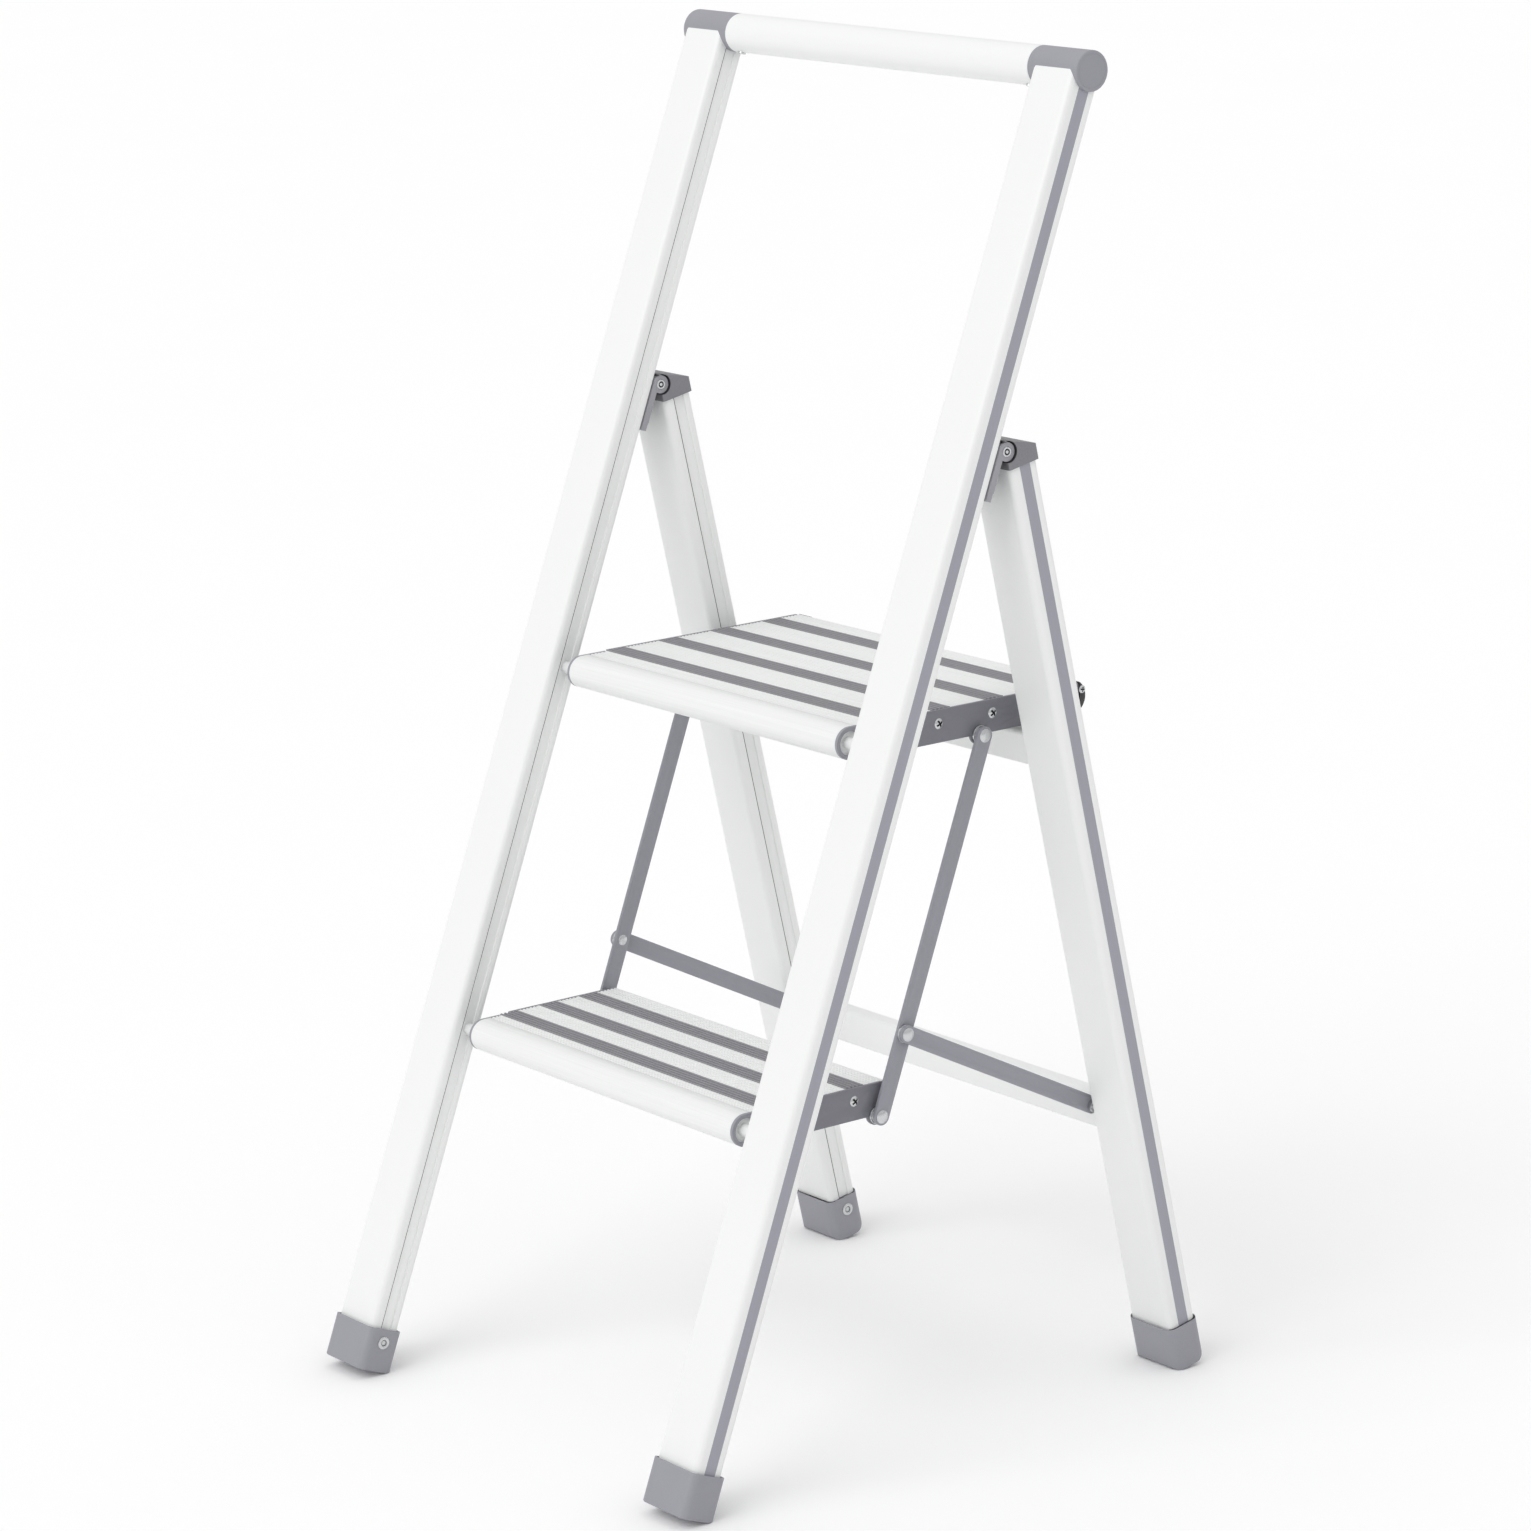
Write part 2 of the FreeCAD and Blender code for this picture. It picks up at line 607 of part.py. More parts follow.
def tread_rivet():
    """Rivet of a tread: shank through bracket and bar, collar between them, round head."""
    y, z = pivot_in_tread()
    head_x = bar_a_x[1] + face_gap
    solid = rod(shank_radius, bracket_x[0], head_x + 0.2, y, z)
    solid = solid.fuse(rod(collar_radius, bracket_x[1], bar_a_x[0] - 2.1, y, z))
    solid = solid.fuse(rod(collar_radius - 1.0, bar_a_x[0] - 2.2, bar_a_x[0] - face_gap, y, z))
    return solid.fuse(dome(rivet_head_radius, rivet_head_height, head_x, y, z))


def catch():
    """Dark moulded catch on the back edge of the upper tread."""
    x0, x1 = catch_x
    back = upper["length"]
    edge_low, edge_high = Vector(x0, back, catch_low), Vector(x0, back, catch_high)
    bulge = Vector(x0, back + catch_reach, (catch_low + catch_high) / 2)
    face = Part.Face(Part.Wire([Part.Arc(edge_low, bulge, edge_high).toShape(),
                                Part.makeLine(edge_high, edge_low)]))
    solid = face.extrude(Vector(x1 - x0, 0, 0))
    return solid.cut(rod(catch_screw_radius, x1 - catch_screw_length, x1 + 1, *catch_screw))


def catch_screw_solid():
    """Cross-head screw in the end face of a catch."""
    x1 = catch_x[1]
    head = dome(catch_head_radius, catch_head_height, x1, *catch_screw)
    head = head.cut(cross_cut(x1 + 0.5, x1 + 3, *catch_screw, reach=1.7))
    return head.fuse(rod(catch_screw_radius, x1 - catch_screw_length, x1 + 0.1, *catch_screw))


def tread_group(nodes, name, tread, pivot_s):
    def put(shape):
        return on_tread(shape, pivot_s)

    nodes[name + "_tread"] = put(tread_body(tread))
    for index, start in enumerate(grip_starts(tread), 1):
        nodes["%s_grip_%d" % (name, index)] = put(grip(tread, start))
    pair(nodes, name + "_nose_caps", put(nose_cap(tread)))
    both(nodes, name + "_bracket", put(bracket(tread)))
    pair(nodes, name + "_bracket_screws", *[put(screw) for screw in bracket_screws(tread)])
    pair(nodes, name + "_rivets", put(tread_rivet()))


# --- Bars ------------------------------------------------------------------------------------

def upright_bar():
    """Bar that keeps the two treads parallel."""
    x0, x1 = bar_a_x
    solid = flat_bar((link_u, link_low_s), (link_u, link_top_s), x0, x1, link_width,
                     shank_radius + running_gap)
    return on_front(solid.cut(rod(shank_radius, x0 - 1, x1 + 1, link_u, link_mid_s)))


def middle_rivet():
    """Inner half of the rivet between the two bars: head, shank in the upright bar and washer."""
    near, far = bar_a_x
    solid = rod(shank_radius, near - 0.2, far + 0.2, link_u, link_mid_s)
    solid = solid.fuse(dome(inner_head_radius, inner_head_height, near, link_u, link_mid_s, side=-1))
    return on_front(solid.fuse(
        rod(collar_radius, far, bar_b_x[0] - face_gap, link_u, link_mid_s)))


def slanted_ends():
    """World (y, z) of both ends of the slanted bar."""
    low = rear_point(brace_pivot_u, brace_pivot_t)
    high = front_point(link_u, link_mid_s)
    return (high.y, high.z), (low.y, low.z)


def slanted_bar():
    """Bar between the middle rivet and the rear frame; its lower hole turns on the back rivet."""
    start, end = slanted_ends()
    return flat_bar(start, end, bar_b_x[0], bar_b_x[1], link_width, shank_radius + running_gap)


def slanted_rivet():
    """Outer half of the rivet between the two bars: head and the shank in the slanted bar."""
    y, z = slanted_ends()[0]
    near, far = bar_b_x
    solid = rod(shank_radius + running_gap, near, far, y, z)
    return solid.fuse(dome(rivet_head_radius, rivet_head_height, far, y, z))


def all_nodes():
    nodes = {}
    front_frame(nodes)
    rear_frame(nodes)
    tread_group(nodes, "upper", upper, upper_pivot_s)
    tread_group(nodes, "lower", lower, lower_pivot_s)
    both(nodes, "upper_catch", on_tread(catch(), upper_pivot_s))
    pair(nodes, "upper_catch_screws", on_tread(catch_screw_solid(), upper_pivot_s))
    both(nodes, "upright_bar", upright_bar())
    both(nodes, "middle_rivet", middle_rivet())
    both(nodes, "slanted_bar", slanted_bar())
    both(nodes, "slanted_rivet", slanted_rivet())
    return nodes


def main():
    os.makedirs("parts", exist_ok=True)
    nodes = all_nodes()
    for name, shape in sorted(nodes.items()):
        if not shape.isValid() or shape.Volume <= 0:
            print("bad shape:", name)
        shape.exportStep("parts/%s.step" % name)
    whole = Part.makeCompound(list(nodes.values())).BoundBox
    print(len(nodes), "nodes, box", [round(value, 1) for value in (
        whole.XMin, whole.YMin, whole.ZMin, whole.XMax, whole.YMax, whole.ZMax)])


main()
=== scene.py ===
import json
import math

import bmesh
import bpy
from bpy.props import FloatProperty, FloatVectorProperty, IntProperty, PointerProperty
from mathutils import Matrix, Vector


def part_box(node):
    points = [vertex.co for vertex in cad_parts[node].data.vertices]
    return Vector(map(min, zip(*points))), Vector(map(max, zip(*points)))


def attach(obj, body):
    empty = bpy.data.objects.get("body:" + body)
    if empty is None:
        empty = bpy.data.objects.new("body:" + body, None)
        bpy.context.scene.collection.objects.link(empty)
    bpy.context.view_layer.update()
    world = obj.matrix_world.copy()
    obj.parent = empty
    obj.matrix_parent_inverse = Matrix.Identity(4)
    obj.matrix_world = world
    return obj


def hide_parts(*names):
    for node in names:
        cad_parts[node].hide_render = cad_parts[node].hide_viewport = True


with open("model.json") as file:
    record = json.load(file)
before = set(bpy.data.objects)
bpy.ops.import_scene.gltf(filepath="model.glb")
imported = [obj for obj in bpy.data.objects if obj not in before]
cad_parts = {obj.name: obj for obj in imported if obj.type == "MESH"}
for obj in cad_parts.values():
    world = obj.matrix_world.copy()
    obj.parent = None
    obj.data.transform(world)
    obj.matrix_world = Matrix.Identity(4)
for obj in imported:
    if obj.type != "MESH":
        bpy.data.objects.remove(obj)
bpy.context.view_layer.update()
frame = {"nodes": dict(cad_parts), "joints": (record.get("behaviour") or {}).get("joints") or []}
nodes = frame["nodes"]

bl_info = {
    "name": "Step stool",
    "version": (1, 0, 0),
    "blender": (4, 5, 0),
    "location": "3D View > Sidebar > Stool",
    "description": "Finishes a folding step stool: powder coat, grips, screws, rivets and stage",
    "category": "Object",
}

SIDES = (("right", 1), ("left", -1))
FRONT_LEAN, REAR_LEAN = math.radians(22.4), math.radians(-10.3)    # rails from the vertical
DECK_SLOPE = math.radians(-1.1)                                    # treads from the level
SLOT_DEPTH = (0.0013, 0.0026)      # faces of a rail's slot painted dark as its shadow line, measured from its inner side
SLOT_PLACE = (0.0075, 0.0100)      # the same faces, measured from the rail's front
# Painted shade: colours for shadow painted into rail slots, hinge pockets, grip grooves, screw
# drives and studs.
SLOT_PAINTED_SHADE, POCKET_PAINTED_SHADE = (0.11, 0.11, 0.107), (0.03, 0.03, 0.033)
GROOVE_PAINTED_SHADE, DRIVE_PAINTED_SHADE = (0.05, 0.05, 0.055), (0.045, 0.045, 0.05)
DUST_TINT = (0.62, 0.61, 0.59)


# --- Sizes and colours ------------------------------------------------------------------------

def colour(name, description, default):
    return FloatVectorProperty(name=name, description=description, default=default,
                               subtype="COLOR", size=3, min=0.0, max=1.0)


def length(name, description, default):
    return FloatProperty(name=name, description=description, default=default, unit="LENGTH",
                         precision=5)


class StoolFinishes(bpy.types.PropertyGroup):
    white: colour("White", "Powder coat of the rails, braces and treads", (0.86, 0.87, 0.862))
    pin_white: colour("Pin white", "Plastic of the tread pins", (0.84, 0.85, 0.845))
    moulded: colour("Moulded grey", "Plastic of the feet, corner caps and nose caps",
                    (0.30, 0.30, 0.335))
    strip: colour("Strip grey", "Strips let into the sides of the rails", (0.35, 0.35, 0.405))
    cast: colour("Cast grey", "Hinge caps", (0.22, 0.22, 0.24))
    plate: colour("Plate grey", "Hinge plates", (0.33, 0.33, 0.36))
    bracket: colour("Bracket grey", "Coat of the treads' side plates", (0.185, 0.185, 0.212))
    bar: colour("Bar grey", "Coat of the bars", (0.30, 0.30, 0.34))
    grip: colour("Grip grey", "Soft ribbed grips of the treads", (0.262, 0.258, 0.28))
    catch: colour("Catch black", "Catches of the upper tread", (0.03, 0.03, 0.033))
    steel: colour("Zinc steel", "Plated screws, rivets and pins", (0.62, 0.63, 0.64))
    peel: length("Coat ripple", "Height of the fine ripple in the powder coat", 0.00006)
    grain: length("Plastic grain", "Height of the grain in moulded plastic", 0.00009)


class StoolGrips(bpy.types.PropertyGroup):
    ribs: IntProperty(name="Ribs", description="Ribs on each grip", default=5, min=2, max=12)
    rise: length("Rib rise", "Height of a rib above its base", 0.0014)
    base: length("Base", "Thickness of the grip under its ribs", 0.0007)
    fill: FloatProperty(name="Rib share", description="Rib width as a share of the rib spacing",
                        default=0.60, min=0.3, max=0.95)


class StoolFasteners(bpy.types.PropertyGroup):
    screw_radius: length("Bracket screw radius", "Head radius of the bracket screws", 0.0038)
    screw_height: length("Bracket screw height", "Head height of the bracket screws", 0.0017)
    catch_radius: length("Catch screw radius", "Head radius of the catch screws", 0.0028)
    catch_height: length("Catch screw height", "Head height of the catch screws", 0.0013)
    rivet_radius: length("Rivet radius", "Head radius of the rivets", 0.0048)
    rivet_height: length("Rivet height", "Head height of the rivets", 0.0015)
    clearance: length("Clearance", "Room between a tread's rivet and the bar that passes it",
                      0.00015)
    washer_radius: length("Washer radius", "Radius of the washers between the bars", 0.0064)
    turn_spread: FloatProperty(name="Turn", description="How far screw slots differ in direction",
                               default=0.7, subtype="ANGLE")
    seed: IntProperty(name="Seed", description="Seed of the screws' directions", default=11)


class StoolStage(bpy.types.PropertyGroup):
    floor: colour("Floor", "Pale floor", (0.97, 0.97, 0.97))
    key: FloatProperty(name="Key light", description="Strength of the soft front light",
                       default=0.80, min=0.0)
    key_from: FloatVectorProperty(name="Key light from",
                                  description="Direction of the front light",
                                  default=(0.02, -0.75, 0.66), size=3, subtype="DIRECTION")
    softness: FloatProperty(name="Softness", description="Width of the front light in the sky",
                            default=math.radians(50), subtype="ANGLE")
    zenith: FloatProperty(name="Upper light", description="Strength of the light overhead",
                          default=0.94, min=0.0)
    horizon: FloatProperty(name="Level light", description="Strength of the light at the horizon",
                           default=0.58, min=0.0)
    camera_place: FloatVectorProperty(name="Camera place", description="Where the camera stands",
                                      default=(3.07845, -2.22108, 1.39904), size=3,
                                      subtype="TRANSLATION", unit="LENGTH")
    camera_turn: FloatVectorProperty(name="Camera turn", description="Which way the camera looks",
                                     default=(1.324153, 0.047579, 0.927316), size=3,
                                     subtype="EULER")
    lens: FloatProperty(name="Lens", description="Focal length in millimetres", default=131.10)


# --- Materials --------------------------------------------------------------------------------

def new_group(name, inputs, outputs):
    """Shader node group with float or vector sockets; returns the tree and its two ends."""
    tree = bpy.data.node_groups.new(name, "ShaderNodeTree")
    for kind, label, default in inputs:
        socket = tree.interface.new_socket(label, in_out="INPUT", socket_type="NodeSocket" + kind)
        if default is not None:
            socket.default_value = default
    for kind, label in outputs:
        tree.interface.new_socket(label, in_out="OUTPUT", socket_type="NodeSocket" + kind)
    return tree, tree.nodes.new("NodeGroupInput"), tree.nodes.new("NodeGroupOutput")


def feed(tree, socket, value):
    """Link another socket to an input, or set the input to a plain value."""
    if isinstance(value, bpy.types.NodeSocket):
        tree.links.new(value, socket)
    else:
        socket.default_value = value


def maths(tree, operation, first, second=None, clamp=False):
    """Math node; first and second are sockets or numbers. Returns its output."""
    node = tree.nodes.new("ShaderNodeMath")
    node.operation = operation
    node.use_clamp = clamp
    for socket, value in zip(node.inputs, (first, second)):
        if value is not None:
            feed(tree, socket, value)
    return node.outputs[0]


def noise(tree, vector, scale, detail=2.0, roughness=0.5):
    """Noise texture; scale is a socket or a number. Returns its factor."""
    node = tree.nodes.new("ShaderNodeTexNoise")
    node.inputs["Detail"].default_value = detail
    node.inputs["Roughness"].default_value = roughness
    tree.links.new(vector, node.inputs["Vector"])
    feed(tree, node.inputs["Scale"], scale)
    return node.outputs["Fac"]


def between(tree, factor, low, high):
    """Map 0..1 to low..high."""
    node = tree.nodes.new("ShaderNodeMapRange")
    tree.links.new(factor, node.inputs["Value"])
    for label, value in (("To Min", low), ("To Max", high)):
        feed(tree, node.inputs[label], value)
    return node.outputs["Result"]


def grain_group():
    """Fine grain with a slow drift of gloss and tone over the surface."""
    tree, start, end = new_group(
        "Surface grain",
        (("Vector", "Vector", None), ("Float", "Grain Scale", 900.0),
         ("Float", "Drift Scale", 9.0), ("Float", "Low Roughness", 0.3),
         ("Float", "High Roughness", 0.4)),
        (("Float", "Height"), ("Float", "Roughness"), ("Float", "Drift")))
    vector = start.outputs["Vector"]
    fine = noise(tree, vector, start.outputs["Grain Scale"], 3.0)
    slow = noise(tree, vector, start.outputs["Drift Scale"], 3.0, 0.6)
    mixed = maths(tree, "ADD", maths(tree, "MULTIPLY", slow, 0.7),
                  maths(tree, "MULTIPLY", fine, 0.3))
    tree.links.new(fine, end.inputs["Height"])
    tree.links.new(maths(tree, "MULTIPLY", maths(tree, "ADD", slow, fine), 0.5),
                   end.inputs["Drift"])
    tree.links.new(between(tree, mixed, start.outputs["Low Roughness"],
                           start.outputs["High Roughness"]), end.inputs["Roughness"])


def streak_group():
    """Drawing lines that run along one direction, turned about X by an angle."""
    tree, start, end = new_group(
        "Drawing lines",
        (("Vector", "Vector", None), ("Float", "Lean", 0.0),
         ("Vector", "Stretch", (1.0, 1.0, 1.0))),
        (("Float", "Height"), ("Float", "Mask")))
    turn = tree.nodes.new("ShaderNodeVectorRotate")
    turn.rotation_type = "X_AXIS"
    tree.links.new(start.outputs["Vector"], turn.inputs["Vector"])
    tree.links.new(start.outputs["Lean"], turn.inputs["Angle"])
    stretch = tree.nodes.new("ShaderNodeVectorMath")
    stretch.operation = "MULTIPLY"
    tree.links.new(turn.outputs["Vector"], stretch.inputs[0])
    tree.links.new(start.outputs["Stretch"], stretch.inputs[1])
    lines = noise(tree, stretch.outputs["Vector"], 1.0, 4.0, 0.65)
    tree.links.new(lines, end.inputs["Height"])
    tree.links.new(between(tree, lines, -0.6, 1.6), end.inputs["Mask"])


def dust_group():
    """Mask of a thin film that settles on faces that look up."""
    tree, start, end = new_group(
        "Settled dust", (("Vector", "Vector", None), ("Vector", "Facing", None),
                         ("Float", "Amount", 0.1)), (("Float", "Mask"),))
    split = tree.nodes.new("ShaderNodeSeparateXYZ")
    tree.links.new(start.outputs["Facing"], split.inputs["Vector"])
    upward = maths(tree, "MULTIPLY", split.outputs["Z"], 1.4, clamp=True)
    cloud = noise(tree, start.outputs["Vector"], 38.0, 5.0, 0.7)
    film = maths(tree, "MULTIPLY", upward, cloud)
    tree.links.new(maths(tree, "MULTIPLY", film, start.outputs["Amount"], clamp=True),
                   end.inputs["Mask"])


def place_group(tree, label, vector, **values):
    """A shared group in a material, with its own values."""
    node = tree.nodes.new("ShaderNodeGroup")
    node.node_tree = bpy.data.node_groups[label]
    tree.links.new(vector, node.inputs["Vector"])
    for name, value in values.items():
        node.inputs[name.replace("_", " ")].default_value = value
    return node


def blend_colours(tree, factor, first, second):
    """Mix of two colours, each a socket or three numbers. Returns its output."""
    node = tree.nodes.new("ShaderNodeMix")
    node.data_type = "RGBA"
    tree.links.new(factor, node.inputs["Factor"])
    for label, value in (("A", first), ("B", second)):
        socket = next(entry for entry in node.inputs
                      if entry.name == label and entry.type == "RGBA")
        feed(tree, socket, value if isinstance(value, bpy.types.NodeSocket) else (*value, 1.0))
    return next(entry for entry in node.outputs if entry.type == "RGBA")


def shade(tint, factor):
    """The tint made darker or lighter."""
    return tuple(min(1.0, channel * factor) for channel in tint)


def finish_material(name, tint, roughness, grain_scale, grain_height, metallic=0.0, drift=0.05,
                    dust=0.08, lean=0.0, stretch=None, line_height=0.0, recess=None):
    """Principled material with grain, tone drift, drawing lines, painted shade in hollows and
    dust.
    """
    material = bpy.data.materials.new(name)
    material.use_nodes = True
    tree = material.node_tree
    shader = tree.nodes["Principled BSDF"]
    shader.inputs["Metallic"].default_value = metallic
    place = tree.nodes.new("ShaderNodeTexCoord")
    grain = place_group(tree, "Surface grain", place.outputs["Object"], Grain_Scale=grain_scale,
                        Low_Roughness=roughness[0], High_Roughness=roughness[1])
    tint_now = blend_colours(tree, grain.outputs["Drift"], shade(tint, 1.0 - drift),
                             shade(tint, 1.0 + drift))
    bump = tree.nodes.new("ShaderNodeBump")
    bump.inputs["Distance"].default_value = grain_height
    height = grain.outputs["Height"]
    if stretch:
        lines = place_group(tree, "Drawing lines", place.outputs["Object"], Lean=lean,
                            Stretch=stretch)
        tint_now = blend_colours(tree, maths(tree, "MULTIPLY", lines.outputs["Mask"], 0.5),
                                 tint_now, shade(tint, 0.86))
        height = maths(tree, "ADD", height, maths(tree, "MULTIPLY", lines.outputs["Height"],
                                                  line_height / grain_height))
    # Painted shade: faces whose painted-shade amount is raised are blended to a dark colour,
    # standing in for shadow in slots, pockets and grooves.
    if recess:
        depth = tree.nodes.new("ShaderNodeAttribute")
        depth.attribute_name = "recess"
        tint_now = blend_colours(tree, depth.outputs["Fac"], tint_now, recess)
    film = place_group(tree, "Settled dust", place.outputs["Object"], Amount=dust)
    tree.links.new(place.outputs["Normal"], film.inputs["Facing"])
    tint_now = blend_colours(tree, film.outputs["Mask"], tint_now, DUST_TINT)
    tree.links.new(tint_now, shader.inputs["Base Color"])
    tree.links.new(grain.outputs["Roughness"], shader.inputs["Roughness"])
    tree.links.new(height, bump.inputs["Height"])
    tree.links.new(bump.outputs["Normal"], shader.inputs["Normal"])


def material_named(name):
    return bpy.data.materials[name]


def make_materials(finishes):
    """All finishes of the stool."""
    grain_group()
    streak_group()
    dust_group()
    peel, grain = finishes.peel, finishes.grain
    finish_material("White powder coat", finishes.white, roughness=(0.34, 0.44),
                    grain_scale=620.0, grain_height=peel, drift=0.012, dust=0.03,
                    recess=SLOT_PAINTED_SHADE)
    finish_material("White tread", finishes.white, roughness=(0.36, 0.46), grain_scale=700.0,
                    grain_height=peel, drift=0.012, dust=0.05, stretch=(6.0, 900.0, 900.0),
                    line_height=0.00002)
    finish_material("Pin plastic", finishes.pin_white, roughness=(0.28, 0.36), grain_scale=500.0,
                    grain_height=peel, drift=0.02, dust=0.02)
    finish_material("Moulded plastic", finishes.moulded, roughness=(0.44, 0.56),
                    grain_scale=1500.0, grain_height=grain, drift=0.16, dust=0.06)
    for name, lean in (("Front strip", FRONT_LEAN), ("Rear strip", REAR_LEAN)):
        finish_material(name, finishes.strip, roughness=(0.40, 0.50), grain_scale=900.0,
                        grain_height=peel, drift=0.03, dust=0.05, lean=lean,
                        stretch=(1500.0, 1500.0, 8.0), line_height=0.00003)
    finish_material("Cast coat", finishes.cast, roughness=(0.42, 0.55), grain_scale=750.0,
                    grain_height=0.00022, drift=0.22, dust=0.05, recess=POCKET_PAINTED_SHADE)
    finish_material("Plate coat", finishes.plate, roughness=(0.40, 0.52), grain_scale=750.0,
                    grain_height=0.00016, drift=0.18, dust=0.05)
    for name, tint in (("Bracket coat", finishes.bracket), ("Bar coat", finishes.bar)):
        finish_material(name, tint, roughness=(0.32, 0.42), grain_scale=800.0, grain_height=peel,
                        drift=0.10, dust=0.05)
    finish_material("Grip rubber", finishes.grip, roughness=(0.55, 0.70), grain_scale=1300.0,
                    grain_height=grain, drift=0.08, dust=0.10, stretch=(9.0, 1100.0, 1100.0),
                    line_height=0.00003, recess=GROOVE_PAINTED_SHADE)
    finish_material("Catch plastic", finishes.catch, roughness=(0.36, 0.5), grain_scale=1200.0,
                    grain_height=grain, drift=0.1, dust=0.05)
    finish_material("Zinc plate", finishes.steel, roughness=(0.20, 0.34), grain_scale=1400.0,
                    grain_height=0.00002, metallic=1.0, drift=0.06, dust=0.02,
                    recess=DRIVE_PAINTED_SHADE)


# --- Pieces from the model --------------------------------------------------------------------

def dress(names, material):
    """Give these nodes of the model a finish, through their own material slots."""
    for name in names:
        piece = nodes[name]
        if not piece.material_slots:
            piece.data.materials.append(None)
        for entry in piece.material_slots:
            entry.material = material_named(material)


def merged(node):
    """BMesh of a node with its loose triangles joined up and flat areas dissolved."""
    mesh = bmesh.new()
    mesh.from_mesh(nodes[node].data)
    bmesh.ops.remove_doubles(mesh, verts=mesh.verts, dist=1e-6)
    bmesh.ops.dissolve_limit(mesh, angle_limit=math.radians(0.3), verts=mesh.verts,
                             edges=mesh.edges)
    return mesh


def finished_object(name, mesh, material, body, stands_for, sharp=32.0):
    """Object from a BMesh or a mesh: smooth, with a finish, riding on its body."""
    if isinstance(mesh, bmesh.types.BMesh):
        data = bpy.data.meshes.new(name)
        mesh.to_mesh(data)
        mesh.free()
    else:
        data = mesh
        data.name = name
    data.materials.clear()
    data.materials.append(material_named(material))
    data.polygons.foreach_set("material_index", [0] * len(data.polygons))
    data.polygons.foreach_set("use_smooth", [True] * len(data.polygons))
    data.set_sharp_from_angle(angle=math.radians(sharp))
    piece = bpy.data.objects.new(name, data)
    bpy.context.scene.collection.objects.link(piece)
    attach(piece, body)
    if stands_for:
        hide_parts(*stands_for)


def softened(node, name, material, body, edge=0.0004, steps=2, sharp=32.0, recess=None):
    """Merged copy of a node whose sharp edges are rounded a little; it stands for the node.

    The last argument gives each face inside a slot or a crevice its amount of painted shade,
    standing in for shadow there.
    """
    mesh = merged(node)
    data = bpy.data.meshes.new("draft")
    mesh.to_mesh(data)
    mesh.free()
    draft = bpy.data.objects.new("draft", data)
    bpy.context.scene.collection.objects.link(draft)
    rounding = draft.modifiers.new("Edges", "BEVEL")
    rounding.width = edge
    rounding.segments = steps
    rounding.limit_method = "ANGLE"
    rounding.angle_limit = math.radians(38.0)
    rounding.miter_outer = "MITER_ARC"
    result = evaluated_mesh(draft)
    # Painted shade: stored per face, it darkens the faces in slots and crevices.
    if recess:
        depth = result.attributes.new("recess", "FLOAT", "FACE")
        depth.data.foreach_set("value", [recess(face) for face in result.polygons])
    finished_object(name, result, material, body, (node,), sharp)


def evaluated_mesh(draft):
    """Plain mesh of a draft object with its modifiers applied; the draft is removed."""
    graph = bpy.context.evaluated_depsgraph_get()
    graph.update()
    mesh = bpy.data.meshes.new_from_object(draft.evaluated_get(graph), depsgraph=graph)
    bpy.data.objects.remove(draft)
    return mesh


def solid_boxes(node):
    """Lowest and highest corner of each separate solid of a node."""
    mesh = merged(node)
    left = set(mesh.verts)
    boxes = []
    while left:
        stack, found = [left.pop()], []
        while stack:
            vertex = stack.pop()
            found.append(vertex.co.copy())
            for edge in vertex.link_edges:
                other = edge.other_vert(vertex)
                if other in left:
                    left.remove(other)
                    stack.append(other)
        boxes.append((Vector([min(point[axis] for point in found) for axis in range(3)]),
                      Vector([max(point[axis] for point in found) for axis in range(3)])))
    mesh.free()
    return sorted(boxes, key=lambda entry: tuple(entry[0]))


def join_rings(mesh, rings, segments):
    """Faces between each ring of points and the next; a ring may be a single point."""
    for first, second in zip(rings, rings[1:]):
        for step in range(segments):
            corners = [first[step % len(first)], first[(step + 1) % len(first)],
                       second[(step + 1) % len(second)], second[step % len(second)]]
            corners = [corner for index, corner in enumerate(corners)
                       if corner not in corners[:index]]
            if len(corners) > 2:
                mesh.faces.new(corners)


def turned(profile, segments=48):
    """BMesh turned about X from (x, radius) points; radius 0 closes an end.

    A third value gives the painted shade at that point, standing in for shadow in a groove or
    hole.
    """
    mesh = bmesh.new()
    dark = mesh.verts.layers.float.new("recess")
    rings = []
    for x, radius, *depth in profile:
        count = segments if radius > 0 else 1
        angles = [2 * math.pi * step / segments for step in range(count)]
        rings.append([mesh.verts.new((x, radius * math.cos(angle), radius * math.sin(angle)))
                      for angle in angles])
        for vertex in rings[-1]:
            vertex[dark] = sum(depth)
    join_rings(mesh, rings, segments)
    bmesh.ops.recalc_face_normals(mesh, faces=mesh.faces)
    return mesh


def dome_profile(radius, height, lip=0.0002, steps=7):
    """Profile of a domed head on x = 0: a low rim, then the dome up to the middle."""
    ball = (radius ** 2 + (height - lip) ** 2) / (2 * (height - lip))
    points = [(0.0, radius)]
    for step in range(steps + 1):
        reach = radius * (1 - step / steps)
        rise = height - ball + math.sqrt(max(0.0, ball ** 2 - reach ** 2))
        points.append((rise, reach))
    return points


# --- Repeating pieces -------------------------------------------------------------------------

